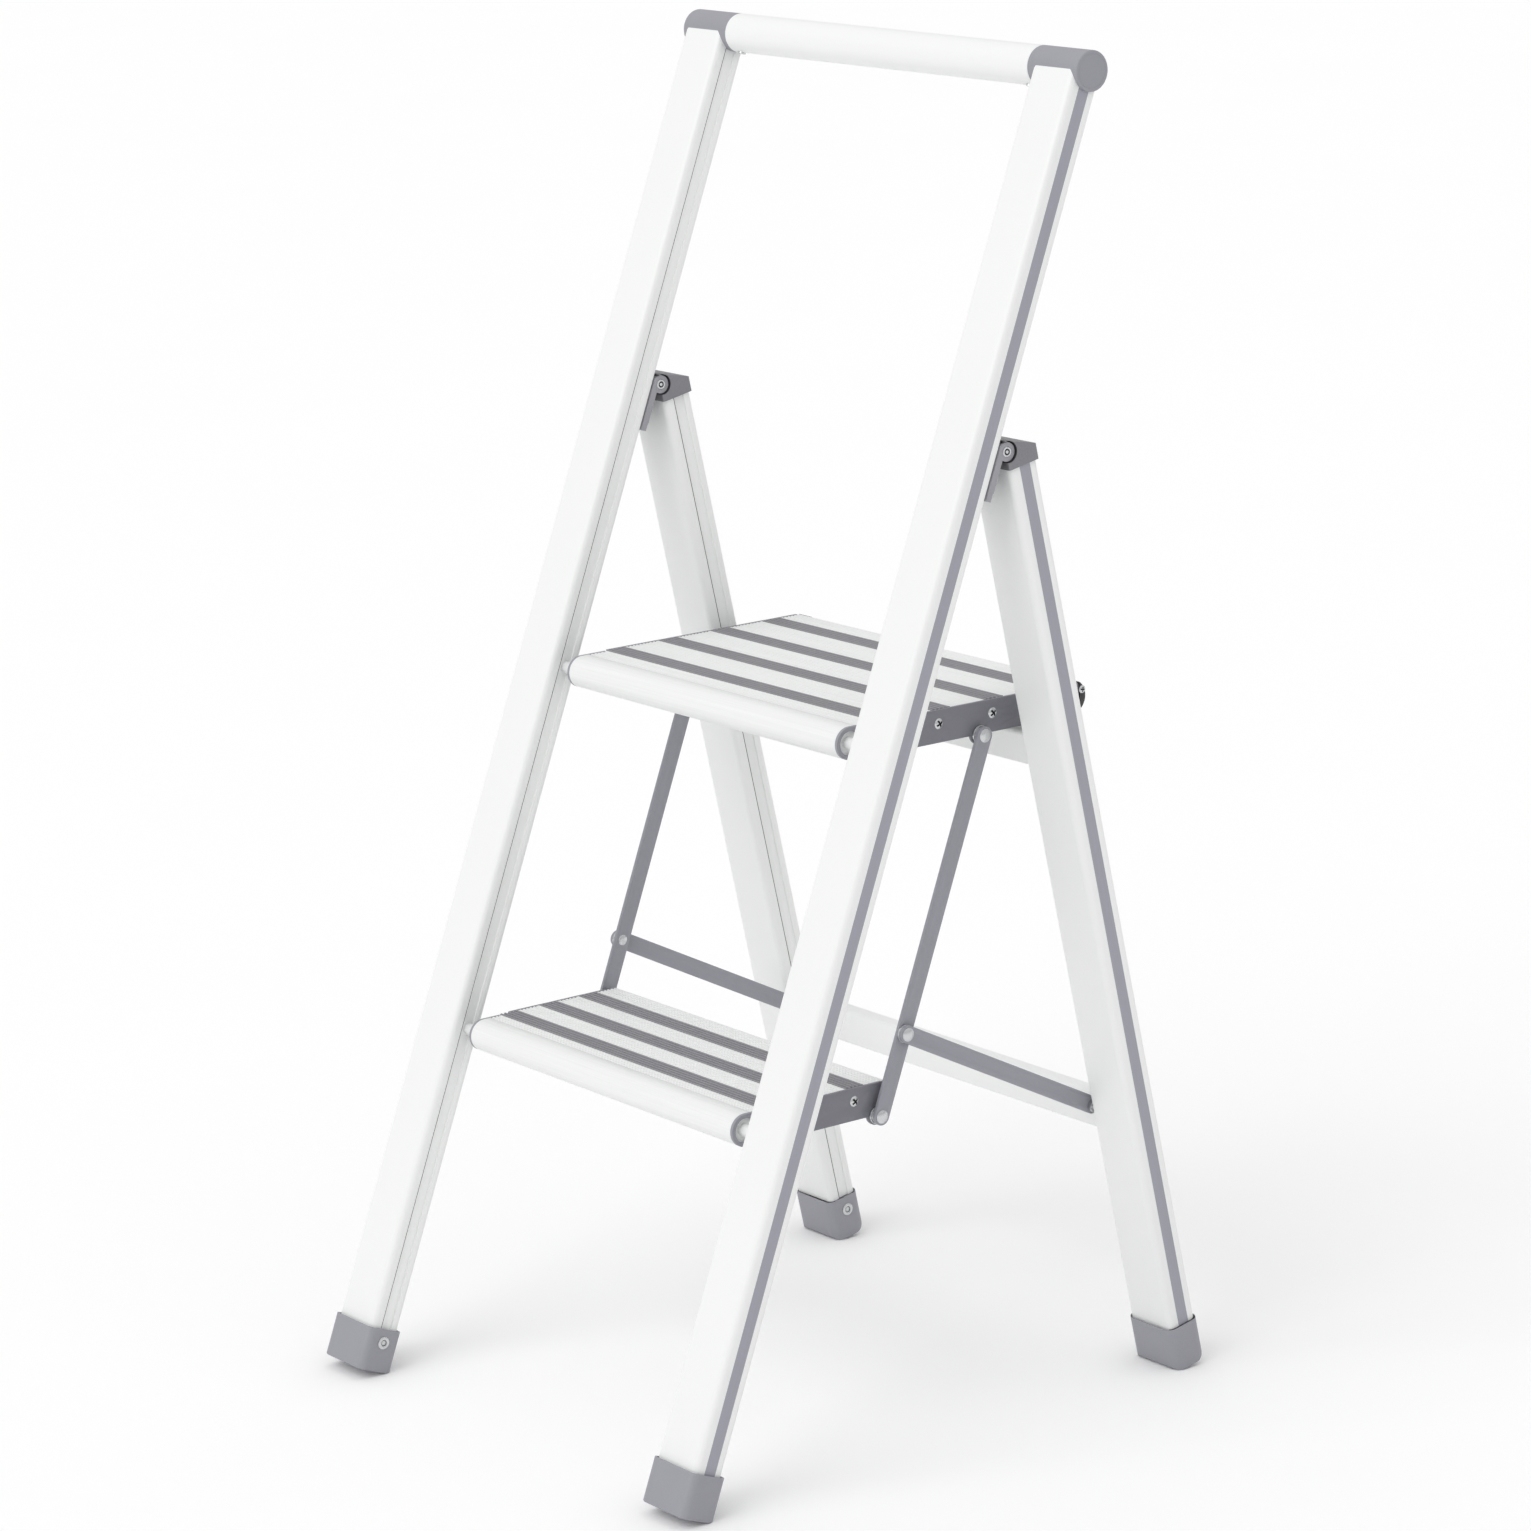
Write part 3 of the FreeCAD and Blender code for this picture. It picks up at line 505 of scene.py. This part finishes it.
def new_geometry_tree(name, inputs):
    """Geometry node tree with named inputs; returns the tree, its ends and a node maker."""
    tree = bpy.data.node_groups.new(name, "GeometryNodeTree")
    tree.interface.new_socket("Geometry", in_out="INPUT", socket_type="NodeSocketGeometry")
    for kind, label, default in inputs:
        socket = tree.interface.new_socket(label, in_out="INPUT", socket_type="NodeSocket" + kind)
        if default is not None:
            socket.default_value = default
    tree.interface.new_socket("Geometry", in_out="OUTPUT", socket_type="NodeSocketGeometry")
    start, end = tree.nodes.new("NodeGroupInput"), tree.nodes.new("NodeGroupOutput")

    def node(kind, settings=None, **sockets):
        made = tree.nodes.new(kind)
        for label, value in (settings or {}).items():
            setattr(made, label, value)
        for label, value in sockets.items():
            feed(tree, made.inputs[label.replace("_", " ")], value)
        return made

    return tree, start, end, node


def run_tree(mesh, tree, values):
    """Apply a geometry tree to a mesh once, and return the plain mesh that comes out."""
    draft = bpy.data.objects.new("draft", mesh)
    bpy.context.scene.collection.objects.link(draft)
    modifier = draft.modifiers.new("Make", "NODES")
    modifier.node_group = tree
    sockets = {entry.name: entry.identifier for entry in tree.interface.items_tree
               if entry.item_type == "SOCKET" and entry.in_out == "INPUT"}
    for label, value in values.items():
        modifier[sockets[label]] = value
    return evaluated_mesh(draft)


def grip_tree():
    """Strips side by side on a tread, each a base with rounded ribs along it."""
    tree, start, end, node = new_geometry_tree("Ribbed grips", (
        ("Int", "Strips", 4), ("Float", "First Strip", 0.02), ("Float", "Strip Spacing", 0.04),
        ("Float", "Strip Width", 0.017), ("Float", "Strip Length", 0.3), ("Int", "Ribs", 5),
        ("Float", "Rib Share", 0.7), ("Float", "Rib Rise", 0.001), ("Float", "Base", 0.001),
        ("Float", "Floor", 0.01), ("Vector", "Pivot", None), ("Float", "Slope", 0.0),
        ("Material", "Material", None)))
    value = start.outputs

    def calc(operation, first, second):
        return maths(tree, operation, first, second)

    def vector(x=0.0, y=0.0, z=0.0):
        return node("ShaderNodeCombineXYZ", X=x, Y=y, Z=z).outputs[0]

    spacing = calc("DIVIDE", value["Strip Width"], value["Ribs"])
    half_length = calc("MULTIPLY", value["Strip Length"], 0.5)
    line = node("GeometryNodeCurvePrimitiveLine", End=vector(half_length),
                Start=vector(calc("MULTIPLY", half_length, -1.0)))
    upright = node("GeometryNodeSetCurveNormal", {"mode": "Z_UP"}, Curve=line.outputs[0])
    outline = node("GeometryNodeCurvePrimitiveQuadrilateral",
                   Width=calc("MULTIPLY", spacing, value["Rib Share"]),
                   Height=calc("MULTIPLY", value["Rib Rise"], 2.0))
    rounded = node("GeometryNodeFilletCurve", {"mode": "POLY"}, Curve=outline.outputs[0], Count=3,
                   Radius=calc("MULTIPLY", value["Rib Rise"], 0.55))
    rib = node("GeometryNodeCurveToMesh", Curve=upright.outputs[0],
               Profile_Curve=rounded.outputs[0], Fill_Caps=True)
    first_rib = calc("MULTIPLY", calc("SUBTRACT", spacing, value["Strip Width"]), 0.5)
    rib_places = node("GeometryNodeMeshLine", Count=value["Ribs"],
                      Start_Location=vector(y=first_rib, z=value["Base"]),
                      Offset=vector(y=spacing))
    ribs = node("GeometryNodeInstanceOnPoints", Points=rib_places.outputs[0],
                Instance=rib.outputs[0])
    base = node("GeometryNodeMeshCube", Size=vector(value["Strip Length"], value["Strip Width"],
                                                    value["Base"]))
    # Painted shade: the base between the ribs is marked dark, standing in for shadow in the
    # grooves.
    shaded = node("GeometryNodeStoreNamedAttribute", {"data_type": "FLOAT", "domain": "POINT"},
                  Geometry=base.outputs[0], Name="recess", Value=1.0)
    raised = node("GeometryNodeTransform", Geometry=shaded.outputs[0],
                  Translation=vector(z=calc("MULTIPLY", value["Base"], 0.5)))
    strip = node("GeometryNodeJoinGeometry")
    for piece in (ribs, raised):
        tree.links.new(piece.outputs[0], strip.inputs[0])
    strip_places = node("GeometryNodeMeshLine", Count=value["Strips"],
                        Start_Location=vector(y=value["First Strip"], z=value["Floor"]),
                        Offset=vector(y=value["Strip Spacing"]))
    strips = node("GeometryNodeInstanceOnPoints", Points=strip_places.outputs[0],
                  Instance=strip.outputs[0])
    placed = node("GeometryNodeTransform", Geometry=strips.outputs[0], Translation=value["Pivot"],
                  Rotation=vector(value["Slope"]))
    real = node("GeometryNodeRealizeInstances", Geometry=placed.outputs[0])
    coated = node("GeometryNodeSetMaterial", Geometry=real.outputs[0], Material=value["Material"])
    tree.links.new(coated.outputs[0], end.inputs[0])
    return tree


def fastener_tree():
    """A head on every point, facing the way the point says, turned by a seeded amount."""
    tree, start, end, node = new_geometry_tree("Fasteners", (
        ("Object", "Head", None), ("Float", "Size", 1.0), ("Float", "Turn", 0.5),
        ("Int", "Seed", 11), ("Material", "Material", None)))
    value = start.outputs
    facing = node("GeometryNodeInputNamedAttribute", {"data_type": "FLOAT_VECTOR"}, Name="facing")
    aim = node("FunctionNodeAlignRotationToVector", {"axis": "X"}, Vector=facing.outputs[0])
    angle = node("FunctionNodeRandomValue", {"data_type": "FLOAT"}, Seed=value["Seed"])
    low, high = [socket for socket in angle.inputs if socket.type == "VALUE"][:2]
    tree.links.new(maths(tree, "MULTIPLY", value["Turn"], -1.0), low)
    tree.links.new(value["Turn"], high)
    spin = node("FunctionNodeAxisAngleToRotation", Axis=(1.0, 0.0, 0.0),
                Angle=next(socket for socket in angle.outputs if socket.type == "VALUE"))
    turn = node("FunctionNodeRotateRotation", {"rotation_space": "LOCAL"},
                Rotation=aim.outputs[0], Rotate_By=spin.outputs[0])
    head = node("GeometryNodeObjectInfo", Object=value["Head"])
    placed = node("GeometryNodeInstanceOnPoints", Points=value["Geometry"],
                  Instance=head.outputs["Geometry"], Rotation=turn.outputs[0], Scale=value["Size"])
    real = node("GeometryNodeRealizeInstances", Geometry=placed.outputs[0])
    coated = node("GeometryNodeSetMaterial", Geometry=real.outputs[0], Material=value["Material"])
    tree.links.new(coated.outputs[0], end.inputs[0])
    return tree


def point_mesh(points):
    """Mesh of bare points with the direction each one faces."""
    mesh = bpy.data.meshes.new("points")
    mesh.from_pydata([tuple(place) for place, _ in points], [], [])
    facing = mesh.attributes.new("facing", "FLOAT_VECTOR", "POINT")
    for entry, (_, direction) in zip(facing.data, points):
        entry.vector = direction
    return mesh


def head_object(name, mesh):
    """Head that the fastener tree copies; set_fasteners removes it afterwards."""
    data = bpy.data.meshes.new(name)
    mesh.to_mesh(data)
    mesh.free()
    head = bpy.data.objects.new(name, data)
    bpy.context.scene.collection.objects.link(head)
    return head


def set_fasteners(name, head, points, body, stands_for, sharp=35.0):
    """Run the fastener tree over the points and make the result one piece."""
    options = bpy.context.scene.stool_fasteners
    tree = bpy.data.node_groups.get("Fasteners") or fastener_tree()
    mesh = run_tree(point_mesh(points), tree, {
        "Head": head, "Size": 1.0, "Turn": options.turn_spread, "Seed": options.seed,
        "Material": material_named("Zinc plate")})
    bpy.data.objects.remove(head)
    finished_object(name, mesh, "Zinc plate", body, stands_for, sharp)


def tips(node, side, height):
    """Points for heads whose tops reach the ends of a node's solids; side 1 faces outwards."""
    points = []
    for low, high in solid_boxes(node):
        middle = (low + high) / 2
        outward = 1.0 if middle.x > 0 else -1.0
        facing = Vector((outward * side, 0.0, 0.0))
        tip = high.x if facing.x > 0 else low.x
        points.append((Vector((tip - facing.x * height, middle.y, middle.z)), facing))
    return points


def cross_head(radius, height, recess_depth, arm, width, rings=18, segments=72, rim=0.0002):
    """Domed screw head with a cross-shaped drive whose slopes carry painted shade, standing on x =
    0.
    """
    mesh = bmesh.new()
    dark = mesh.verts.layers.float.new("recess")
    ball_height = height - rim
    ball = (radius ** 2 + ball_height ** 2) / (2 * ball_height)
    grid = []
    for ring in range(rings + 1):
        reach = radius * ring / rings
        row = []
        for step in range(segments if ring else 1):
            angle = 2 * math.pi * step / segments
            y, z = reach * math.cos(angle), reach * math.sin(angle)
            rise = height - ball + math.sqrt(ball ** 2 - reach ** 2)
            across, along = sorted((abs(y), abs(z)))
            taper = min(1.0, max(0.0, (width / 2 - across) / (0.2 * width)),
                        max(0.0, (arm - along) / (0.15 * arm)))
            row.append(mesh.verts.new((rise - recess_depth * taper, y, z)))
            # Painted shade: deeper into the drive means darker, as shadow.
            row[-1][dark] = taper
        grid.append(row)
    skirt = [mesh.verts.new((0.0, vertex.co.y, vertex.co.z)) for vertex in grid[-1]]
    grid.append(skirt)
    join_rings(mesh, grid, segments)
    mesh.faces.new(skirt)
    bmesh.ops.recalc_face_normals(mesh, faces=mesh.faces)
    return mesh


# --- Operators --------------------------------------------------------------------------------

class StoolPiece:
    """Shared part of the stool's operators."""
    bl_options = {"REGISTER", "UNDO"}


class STOOL_OT_finishes(StoolPiece, bpy.types.Operator):
    """Make the materials of the stool"""
    bl_idname = "stool.finishes"
    bl_label = "Materials"

    def execute(self, context):
        make_materials(context.scene.stool_finishes)
        return {"FINISHED"}


class STOOL_OT_rails(StoolPiece, bpy.types.Operator):
    """Finish the rails, their strips and the cross braces"""
    bl_idname = "stool.rails"
    bl_label = "Rails and braces"

    def execute(self, context):
        rails = (("front_rail_", "tall_rail_", "front_frame", FRONT_LEAN),
                 ("rear_rail_", "short_rail_", "rear_frame", REAR_LEAN))
        for side, sign in SIDES:
            for node, name, body, lean in rails:
                low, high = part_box(node + side)
                inner = min(abs(low.x), abs(high.x))
                back = Vector((0.0, math.cos(lean), -math.sin(lean)))
                front = min(vertex.co.dot(back) for vertex in nodes[node + side].data.vertices)

                # Painted shade: faces deep in the slot under its front lip are painted dark, as
                # the slot's shadow line.
                def in_slot(face):
                    depth = face.center.x * sign - inner
                    place = face.center.dot(back) - front
                    return float(SLOT_DEPTH[0] < depth < SLOT_DEPTH[1]
                                 and SLOT_PLACE[0] < place < SLOT_PLACE[1])

                softened(node + side, name + side, "White powder coat", body,
                         edge=0.0002, recess=in_slot)
            dress(("front_strip_" + side,), "Front strip")
            dress(("rear_strip_" + side,), "Rear strip")
        for name in ("upper", "lower"):
            softened(name + "_brace", name + "_cross_brace", "White powder coat", "rear_frame",
                     edge=0.0002)
        return {"FINISHED"}


class STOOL_OT_hand_bar(StoolPiece, bpy.types.Operator):
    """Turn the hand bar and the round caps at its ends"""
    bl_idname = "stool.hand_bar"
    bl_label = "Hand bar"

    def execute(self, context):
        low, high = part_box("hand_bar")
        middle = (low + high) / 2
        radius = (high.y - low.y) / 2
        half = high.x
        bar = turned([(-half, 0.0), (-half, radius), (half, radius), (half, 0.0)], segments=96)
        bmesh.ops.translate(bar, verts=bar.verts, vec=middle)
        finished_object("hand_bar_tube", bar, "White powder coat", "front_frame", ("hand_bar",))
        cap_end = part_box("corner_cap_right")[1].x
        seam, corner, sunk = 0.0004, 0.0010, 0.0004
        for side, sign in SIDES:
            edge = [(half, 0.0), (half, radius - seam), (half + seam, radius)]
            for step in range(6):
                angle = math.radians(90 * step / 5)
                edge.append((cap_end - corner + corner * math.sin(angle),
                             radius - corner + corner * math.cos(angle)))
            edge += [(cap_end, radius - 0.0019), (cap_end - sunk, radius - 0.0023),
                     (cap_end - sunk, radius - 0.0060), (cap_end - 0.00045, 0.0)]
            cap = turned(edge, segments=96)
            for vertex in cap.verts:
                vertex.co.x *= sign
            bmesh.ops.recalc_face_normals(cap, faces=cap.faces)
            bmesh.ops.translate(cap, verts=cap.verts, vec=Vector((0, middle.y, middle.z)))
            finished_object("round_cap_" + side, cap, "Moulded plastic", "front_frame",
                            ("corner_cap_" + side,))
        dress(("hand_bar_screws",), "Zinc plate")
        return {"FINISHED"}


class STOOL_OT_feet(StoolPiece, bpy.types.Operator):
    """Finish the plastic feet"""
    bl_idname = "stool.feet"
    bl_label = "Feet"

    def execute(self, context):
        for side, _ in SIDES:
            for end in ("front", "rear"):
                softened("%s_foot_%s" % (end, side), "%s_shoe_%s" % (end, side),
                         "Moulded plastic", end + "_frame", edge=0.0005, steps=3)
        return {"FINISHED"}


class STOOL_OT_hinges(StoolPiece, bpy.types.Operator):
    """Finish the hinge plates, hinge caps and hinge pins"""
    bl_idname = "stool.hinges"
    bl_label = "Hinges"

    def execute(self, context):
        pocket_radius, slack, back_shadow = 0.0080, 0.0005, 0.5
        for side, _ in SIDES:
            softened("hinge_plate_" + side, "eared_plate_" + side, "Plate coat", "front_frame",
                     edge=0.0005, steps=3)
            low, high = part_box("hinge_pin_" + side)
            middle, half = (low + high) / 2, (high.x - low.x) / 2

            # Painted shade: faces in the pocket round the pin get full shade, forward-facing faces
            # of the cap half of it.
            def in_pocket(face):
                centre = face.center
                reach = math.hypot(centre.y - middle.y, centre.z - middle.z)
                if reach < pocket_radius and abs(centre.x - middle.x) < half + slack:
                    return 1.0
                return back_shadow if face.normal.y < -0.8 else 0.0

            softened("hinge_cap_" + side, "cast_cap_" + side, "Cast coat", "rear_frame",
                     edge=0.0006, steps=3, recess=in_pocket)
            radius, shank, rim = (high.y - low.y) / 2, 0.0024, 0.0003
            # The groove round the pin's end carries painted shade as its shadow.
            end = [(half - 0.0006, shank), (half - 0.0005, radius - rim), (half - rim, radius),
                   (half, radius - rim), (half, shank), (half - 0.0002, 0.0022, 0.9),
                   (half - 0.0004, 0.0018, 1.0), (half - 0.0004, 0.0013, 1.0),
                   (half - 0.0001, 0.0011), (half - 0.0001, 0.0)]
            other = [(-x, *rest) for x, *rest in reversed(end)]
            pin = turned(other + end)
            bmesh.ops.translate(pin, verts=pin.verts, vec=middle)
            finished_object("knuckle_pin_" + side, pin, "Zinc plate", "front_frame",
                            ("hinge_pin_" + side,))
        return {"FINISHED"}


class STOOL_OT_treads(StoolPiece, bpy.types.Operator):
    """Finish the treads, their nose caps, pins and catches"""
    bl_idname = "stool.treads"
    bl_label = "Treads"

    def execute(self, context):
        for name in ("upper", "lower"):
            body = name + "_tread"
            softened(body, name + "_deck", "White tread", body, edge=0.00012,
                     steps=1)
            softened(name + "_nose_caps", name + "_nose_ends", "Moulded plastic", body,
                     edge=0.0002)
            softened(name + "_pivot_pins", name + "_turning_pins", "Pin plastic", "front_frame",
                     edge=0.0003)
        for side, _ in SIDES:
            softened("upper_catch_" + side, "corner_catch_" + side, "Catch plastic", "upper_tread",
                     edge=0.0005)
        return {"FINISHED"}


class STOOL_OT_grips(StoolPiece, bpy.types.Operator):
    """Lay the ribbed grips in the treads' channels"""
    bl_idname = "stool.grips"
    bl_label = "Grips"

    def execute(self, context):
        options = context.scene.stool_grips
        tree = grip_tree()
        back = Vector((0.0, math.cos(DECK_SLOPE), math.sin(DECK_SLOPE)))
        up = Vector((0.0, -math.sin(DECK_SLOPE), math.cos(DECK_SLOPE)))
        joints = {entry["name"]: entry for entry in frame["joints"]}
        for name, count in (("upper", 4), ("lower", 3)):
            pivot = Vector(joints[name + "_tread_fold"]["pos_m"])
            stands_for = ["%s_grip_%d" % (name, index + 1) for index in range(count)]
            spans = []
            for node in stands_for:
                along = [(vertex.co - pivot).dot(back) for vertex in nodes[node].data.vertices]
                depth = [(vertex.co - pivot).dot(up) for vertex in nodes[node].data.vertices]
                spans.append((min(along), max(along), min(depth)))
            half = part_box(stands_for[0])[1].x
            mesh = run_tree(bpy.data.meshes.new("empty"), tree, {
                "Strips": count, "First Strip": (spans[0][0] + spans[0][1]) / 2,
                "Strip Spacing": spans[1][0] - spans[0][0],
                "Strip Width": spans[0][1] - spans[0][0], "Strip Length": 2 * half,
                "Ribs": options.ribs, "Rib Share": options.fill, "Rib Rise": options.rise,
                "Base": options.base, "Floor": spans[0][2], "Pivot": pivot,
                "Slope": DECK_SLOPE, "Material": material_named("Grip rubber")})
            finished_object(name + "_grips", mesh, "Grip rubber", name + "_tread", stands_for)
        return {"FINISHED"}


class STOOL_OT_linkage(StoolPiece, bpy.types.Operator):
    """Finish the brackets of the treads and the bars between them"""
    bl_idname = "stool.linkage"
    bl_label = "Brackets and bars"

    def execute(self, context):
        for side, _ in SIDES:
            for name in ("upper", "lower"):
                softened("%s_bracket_%s" % (name, side), "%s_side_plate_%s" % (name, side),
                         "Bracket coat", name + "_tread", edge=0.0003)
            for name in ("upright", "slanted"):
                node = "%s_bar_%s" % (name, side)
                softened(node, "%s_link_%s" % (name, side), "Bar coat", node,
                         edge=0.0003)
        return {"FINISHED"}


class STOOL_OT_screws(StoolPiece, bpy.types.Operator):
    """Set the screws of the brackets, feet and catches"""
    bl_idname = "stool.screws"
    bl_label = "Screws"

    def execute(self, context):
        options = context.scene.stool_fasteners
        for name in ("upper", "lower"):
            head = head_object("cross_screw", cross_head(
                options.screw_radius, options.screw_height, recess_depth=0.0012, arm=0.0027,
                width=0.0015))
            node = name + "_bracket_screws"
            set_fasteners(name + "_cross_screws", head, tips(node, 1, options.screw_height),
                          name + "_tread", (node,))
        radius, height = options.catch_radius, options.catch_height
        head = head_object("small_screw", cross_head(radius, height, recess_depth=0.0009,
                                                     arm=0.0019, width=0.0010))
        set_fasteners("catch_screws", head, tips("upper_catch_screws", 1, height), "upper_tread",
                      ("upper_catch_screws",))
        rim, top = 0.0049, 0.0010
        # The rim at the stud's base and its centre hole carry painted shade, as shadow.
        dish = [(0.0, 0.0), (0.0, rim, 0.6), (0.0003, rim, 0.6), (0.0006, 0.0046),
                (top, 0.0038), (0.0009, 0.0030), (0.0006, 0.0024), (0.0004, 0.0022, 1.0),
                (-0.0006, 0.0020, 1.0), (-0.0006, 0.0, 1.0)]
        for end in ("front", "rear"):
            node = end + "_foot_screws"
            set_fasteners(end + "_foot_studs", head_object("dish_screw", turned(dish)),
                          tips(node, -1, top), end + "_frame", (node,))
        return {"FINISHED"}


class STOOL_OT_rivets(StoolPiece, bpy.types.Operator):
    """Set the rivets and washers of the bars"""
    bl_idname = "stool.rivets"
    bl_label = "Rivets"

    def execute(self, context):
        options = context.scene.stool_fasteners
        washer, head_radius, height = (options.washer_radius, options.rivet_radius,
                                       options.rivet_height)
        shank = 0.003
        head = dome_profile(head_radius, height)
        stack = [(-0.0093, 0.0), (-0.0093, shank), (-0.0068, shank), (-0.0068, washer - 0.0002),
                 (-0.0066, washer), (-0.0049, washer), (-0.0047, washer - 0.0002),
                 (-0.0047, washer - 0.0012), (-0.0045, washer - 0.0010),
                 (-0.0029, washer - 0.0010), (-0.0027, washer - 0.0012), (-0.0027, shank),
                 (0.0, shank)]
        low_head = dome_profile(head_radius, height - options.clearance)
        for name in ("upper", "lower"):
            node = name + "_rivets"
            set_fasteners(name + "_riveted_ends", head_object("stack", turned(stack + low_head)),
                          tips(node, 1, height), name + "_tread", (node,))
        inner = [(-0.0040, 0.0), (-0.0040, washer - 0.0002), (-0.0038, washer),
                 (-0.0027, washer), (-0.0025, washer - 0.0002), (-0.0025, shank), (0.0, shank)]
        outer = [(-0.0025, 0.0), (-0.0025, shank + 0.00005), (0.0, shank + 0.00005)]
        inner_radius, inner_height, back_height = 0.0039, 0.0012, 0.0013
        inner += dome_profile(inner_radius, inner_height)
        for side, _ in SIDES:
            node = "middle_rivet_" + side
            set_fasteners("inner_rivet_" + side, head_object("inner", turned(inner)),
                          tips(node, -1, inner_height), "upright_bar_" + side, (node,))
            node = "slanted_rivet_" + side
            set_fasteners("outer_rivet_" + side, head_object("outer", turned(outer + head)),
                          tips(node, 1, height), "slanted_bar_" + side, (node,))
        back = [(-0.0093, 0.0), (-0.0093, shank), (-0.0060, shank), (-0.0060, 0.0048),
                (-0.0027, 0.0048), (-0.0027, shank), (0.0, shank)]
        set_fasteners("rear_rail_rivets",
                      head_object("back", turned(back + dome_profile(head_radius, back_height))),
                      tips("back_rivets", -1, back_height), "rear_frame", ("back_rivets",))
        return {"FINISHED"}


class STOOL_OT_stage(StoolPiece, bpy.types.Operator):
    """Pale floor, soft lights and the camera"""
    bl_idname = "stool.stage"
    bl_label = "Stage"

    def execute(self, context):
        scene = context.scene
        options = scene.stool_stage
        mesh = bpy.data.meshes.new("floor")
        reach = 60.0
        mesh.from_pydata([(-reach, -reach, 0), (reach, -reach, 0), (reach, reach, 0),
                          (-reach, reach, 0)], [], [(0, 1, 2, 3)])
        floor = bpy.data.objects.new("floor", mesh)
        scene.collection.objects.link(floor)
        material = bpy.data.materials.new("Pale floor")
        material.use_nodes = True
        tree = material.node_tree
        shader = tree.nodes["Principled BSDF"]
        place = tree.nodes.new("ShaderNodeTexCoord")
        cloud = noise(tree, place.outputs["Object"], 2.5, 4.0)
        tree.links.new(blend_colours(tree, cloud, shade(options.floor, 0.995),
                                     shade(options.floor, 1.005)), shader.inputs["Base Color"])
        shader.inputs["Roughness"].default_value = 0.9
        shader.inputs["Specular IOR Level"].default_value = 0.1
        mesh.materials.append(material)
        light = bpy.data.lights.new("key", "SUN")
        light.energy = options.key
        light.angle = options.softness
        lamp = bpy.data.objects.new("key", light)
        lamp.rotation_euler = (-Vector(options.key_from)).to_track_quat("-Z", "Y").to_euler()
        scene.collection.objects.link(lamp)
        world = bpy.data.worlds.new("sky")
        world.use_nodes = True
        sky = world.node_tree
        place = sky.nodes.new("ShaderNodeTexCoord")
        split = sky.nodes.new("ShaderNodeSeparateXYZ")
        sky.links.new(place.outputs["Generated"], split.inputs["Vector"])
        rise = maths(sky, "MULTIPLY", split.outputs["Z"], 1.25, clamp=True)
        sky.links.new(between(sky, rise, options.horizon, options.zenith),
                      sky.nodes["Background"].inputs["Strength"])
        sky.nodes["Background"].inputs["Color"].default_value = (1.0, 1.0, 1.0, 1.0)
        scene.world = world
        scene.view_settings.view_transform = "Standard"
        lens = bpy.data.cameras.new("camera")
        lens.lens = options.lens
        camera = bpy.data.objects.new("camera", lens)
        camera.location = options.camera_place
        camera.rotation_euler = options.camera_turn
        lens.clip_end = 200.0
        scene.collection.objects.link(camera)
        scene.camera = camera
        return {"FINISHED"}


class STOOL_PT_panel(bpy.types.Panel):
    """Buttons and settings of the stool"""
    bl_label = "Step stool"
    bl_idname = "STOOL_PT_panel"
    bl_space_type = "VIEW_3D"
    bl_region_type = "UI"
    bl_category = "Stool"

    def draw(self, context):
        for operator in OPERATORS:
            self.layout.operator(operator.bl_idname)
        for name, group in GROUPS:
            box = self.layout.box()
            for label in group.__annotations__:
                box.prop(getattr(context.scene, name), label)


GROUPS = (("stool_finishes", StoolFinishes), ("stool_grips", StoolGrips),
          ("stool_fasteners", StoolFasteners), ("stool_stage", StoolStage))
OPERATORS = (STOOL_OT_finishes, STOOL_OT_rails, STOOL_OT_hand_bar, STOOL_OT_feet, STOOL_OT_hinges,
             STOOL_OT_treads, STOOL_OT_grips, STOOL_OT_linkage, STOOL_OT_screws, STOOL_OT_rivets,
             STOOL_OT_stage)


def register():
    for _, group in GROUPS:
        bpy.utils.register_class(group)
    for name, group in GROUPS:
        setattr(bpy.types.Scene, name, PointerProperty(type=group))
    for operator in OPERATORS:
        bpy.utils.register_class(operator)
    bpy.utils.register_class(STOOL_PT_panel)


def unregister():
    bpy.utils.unregister_class(STOOL_PT_panel)
    for operator in reversed(OPERATORS):
        bpy.utils.unregister_class(operator)
    for name, group in reversed(GROUPS):
        delattr(bpy.types.Scene, name)
        bpy.utils.unregister_class(group)


def main():
    register()
    for operator in OPERATORS:
        group, action = operator.bl_idname.split(".")
        getattr(getattr(bpy.ops, group), action)()


if __name__ == "__main__":
    main()
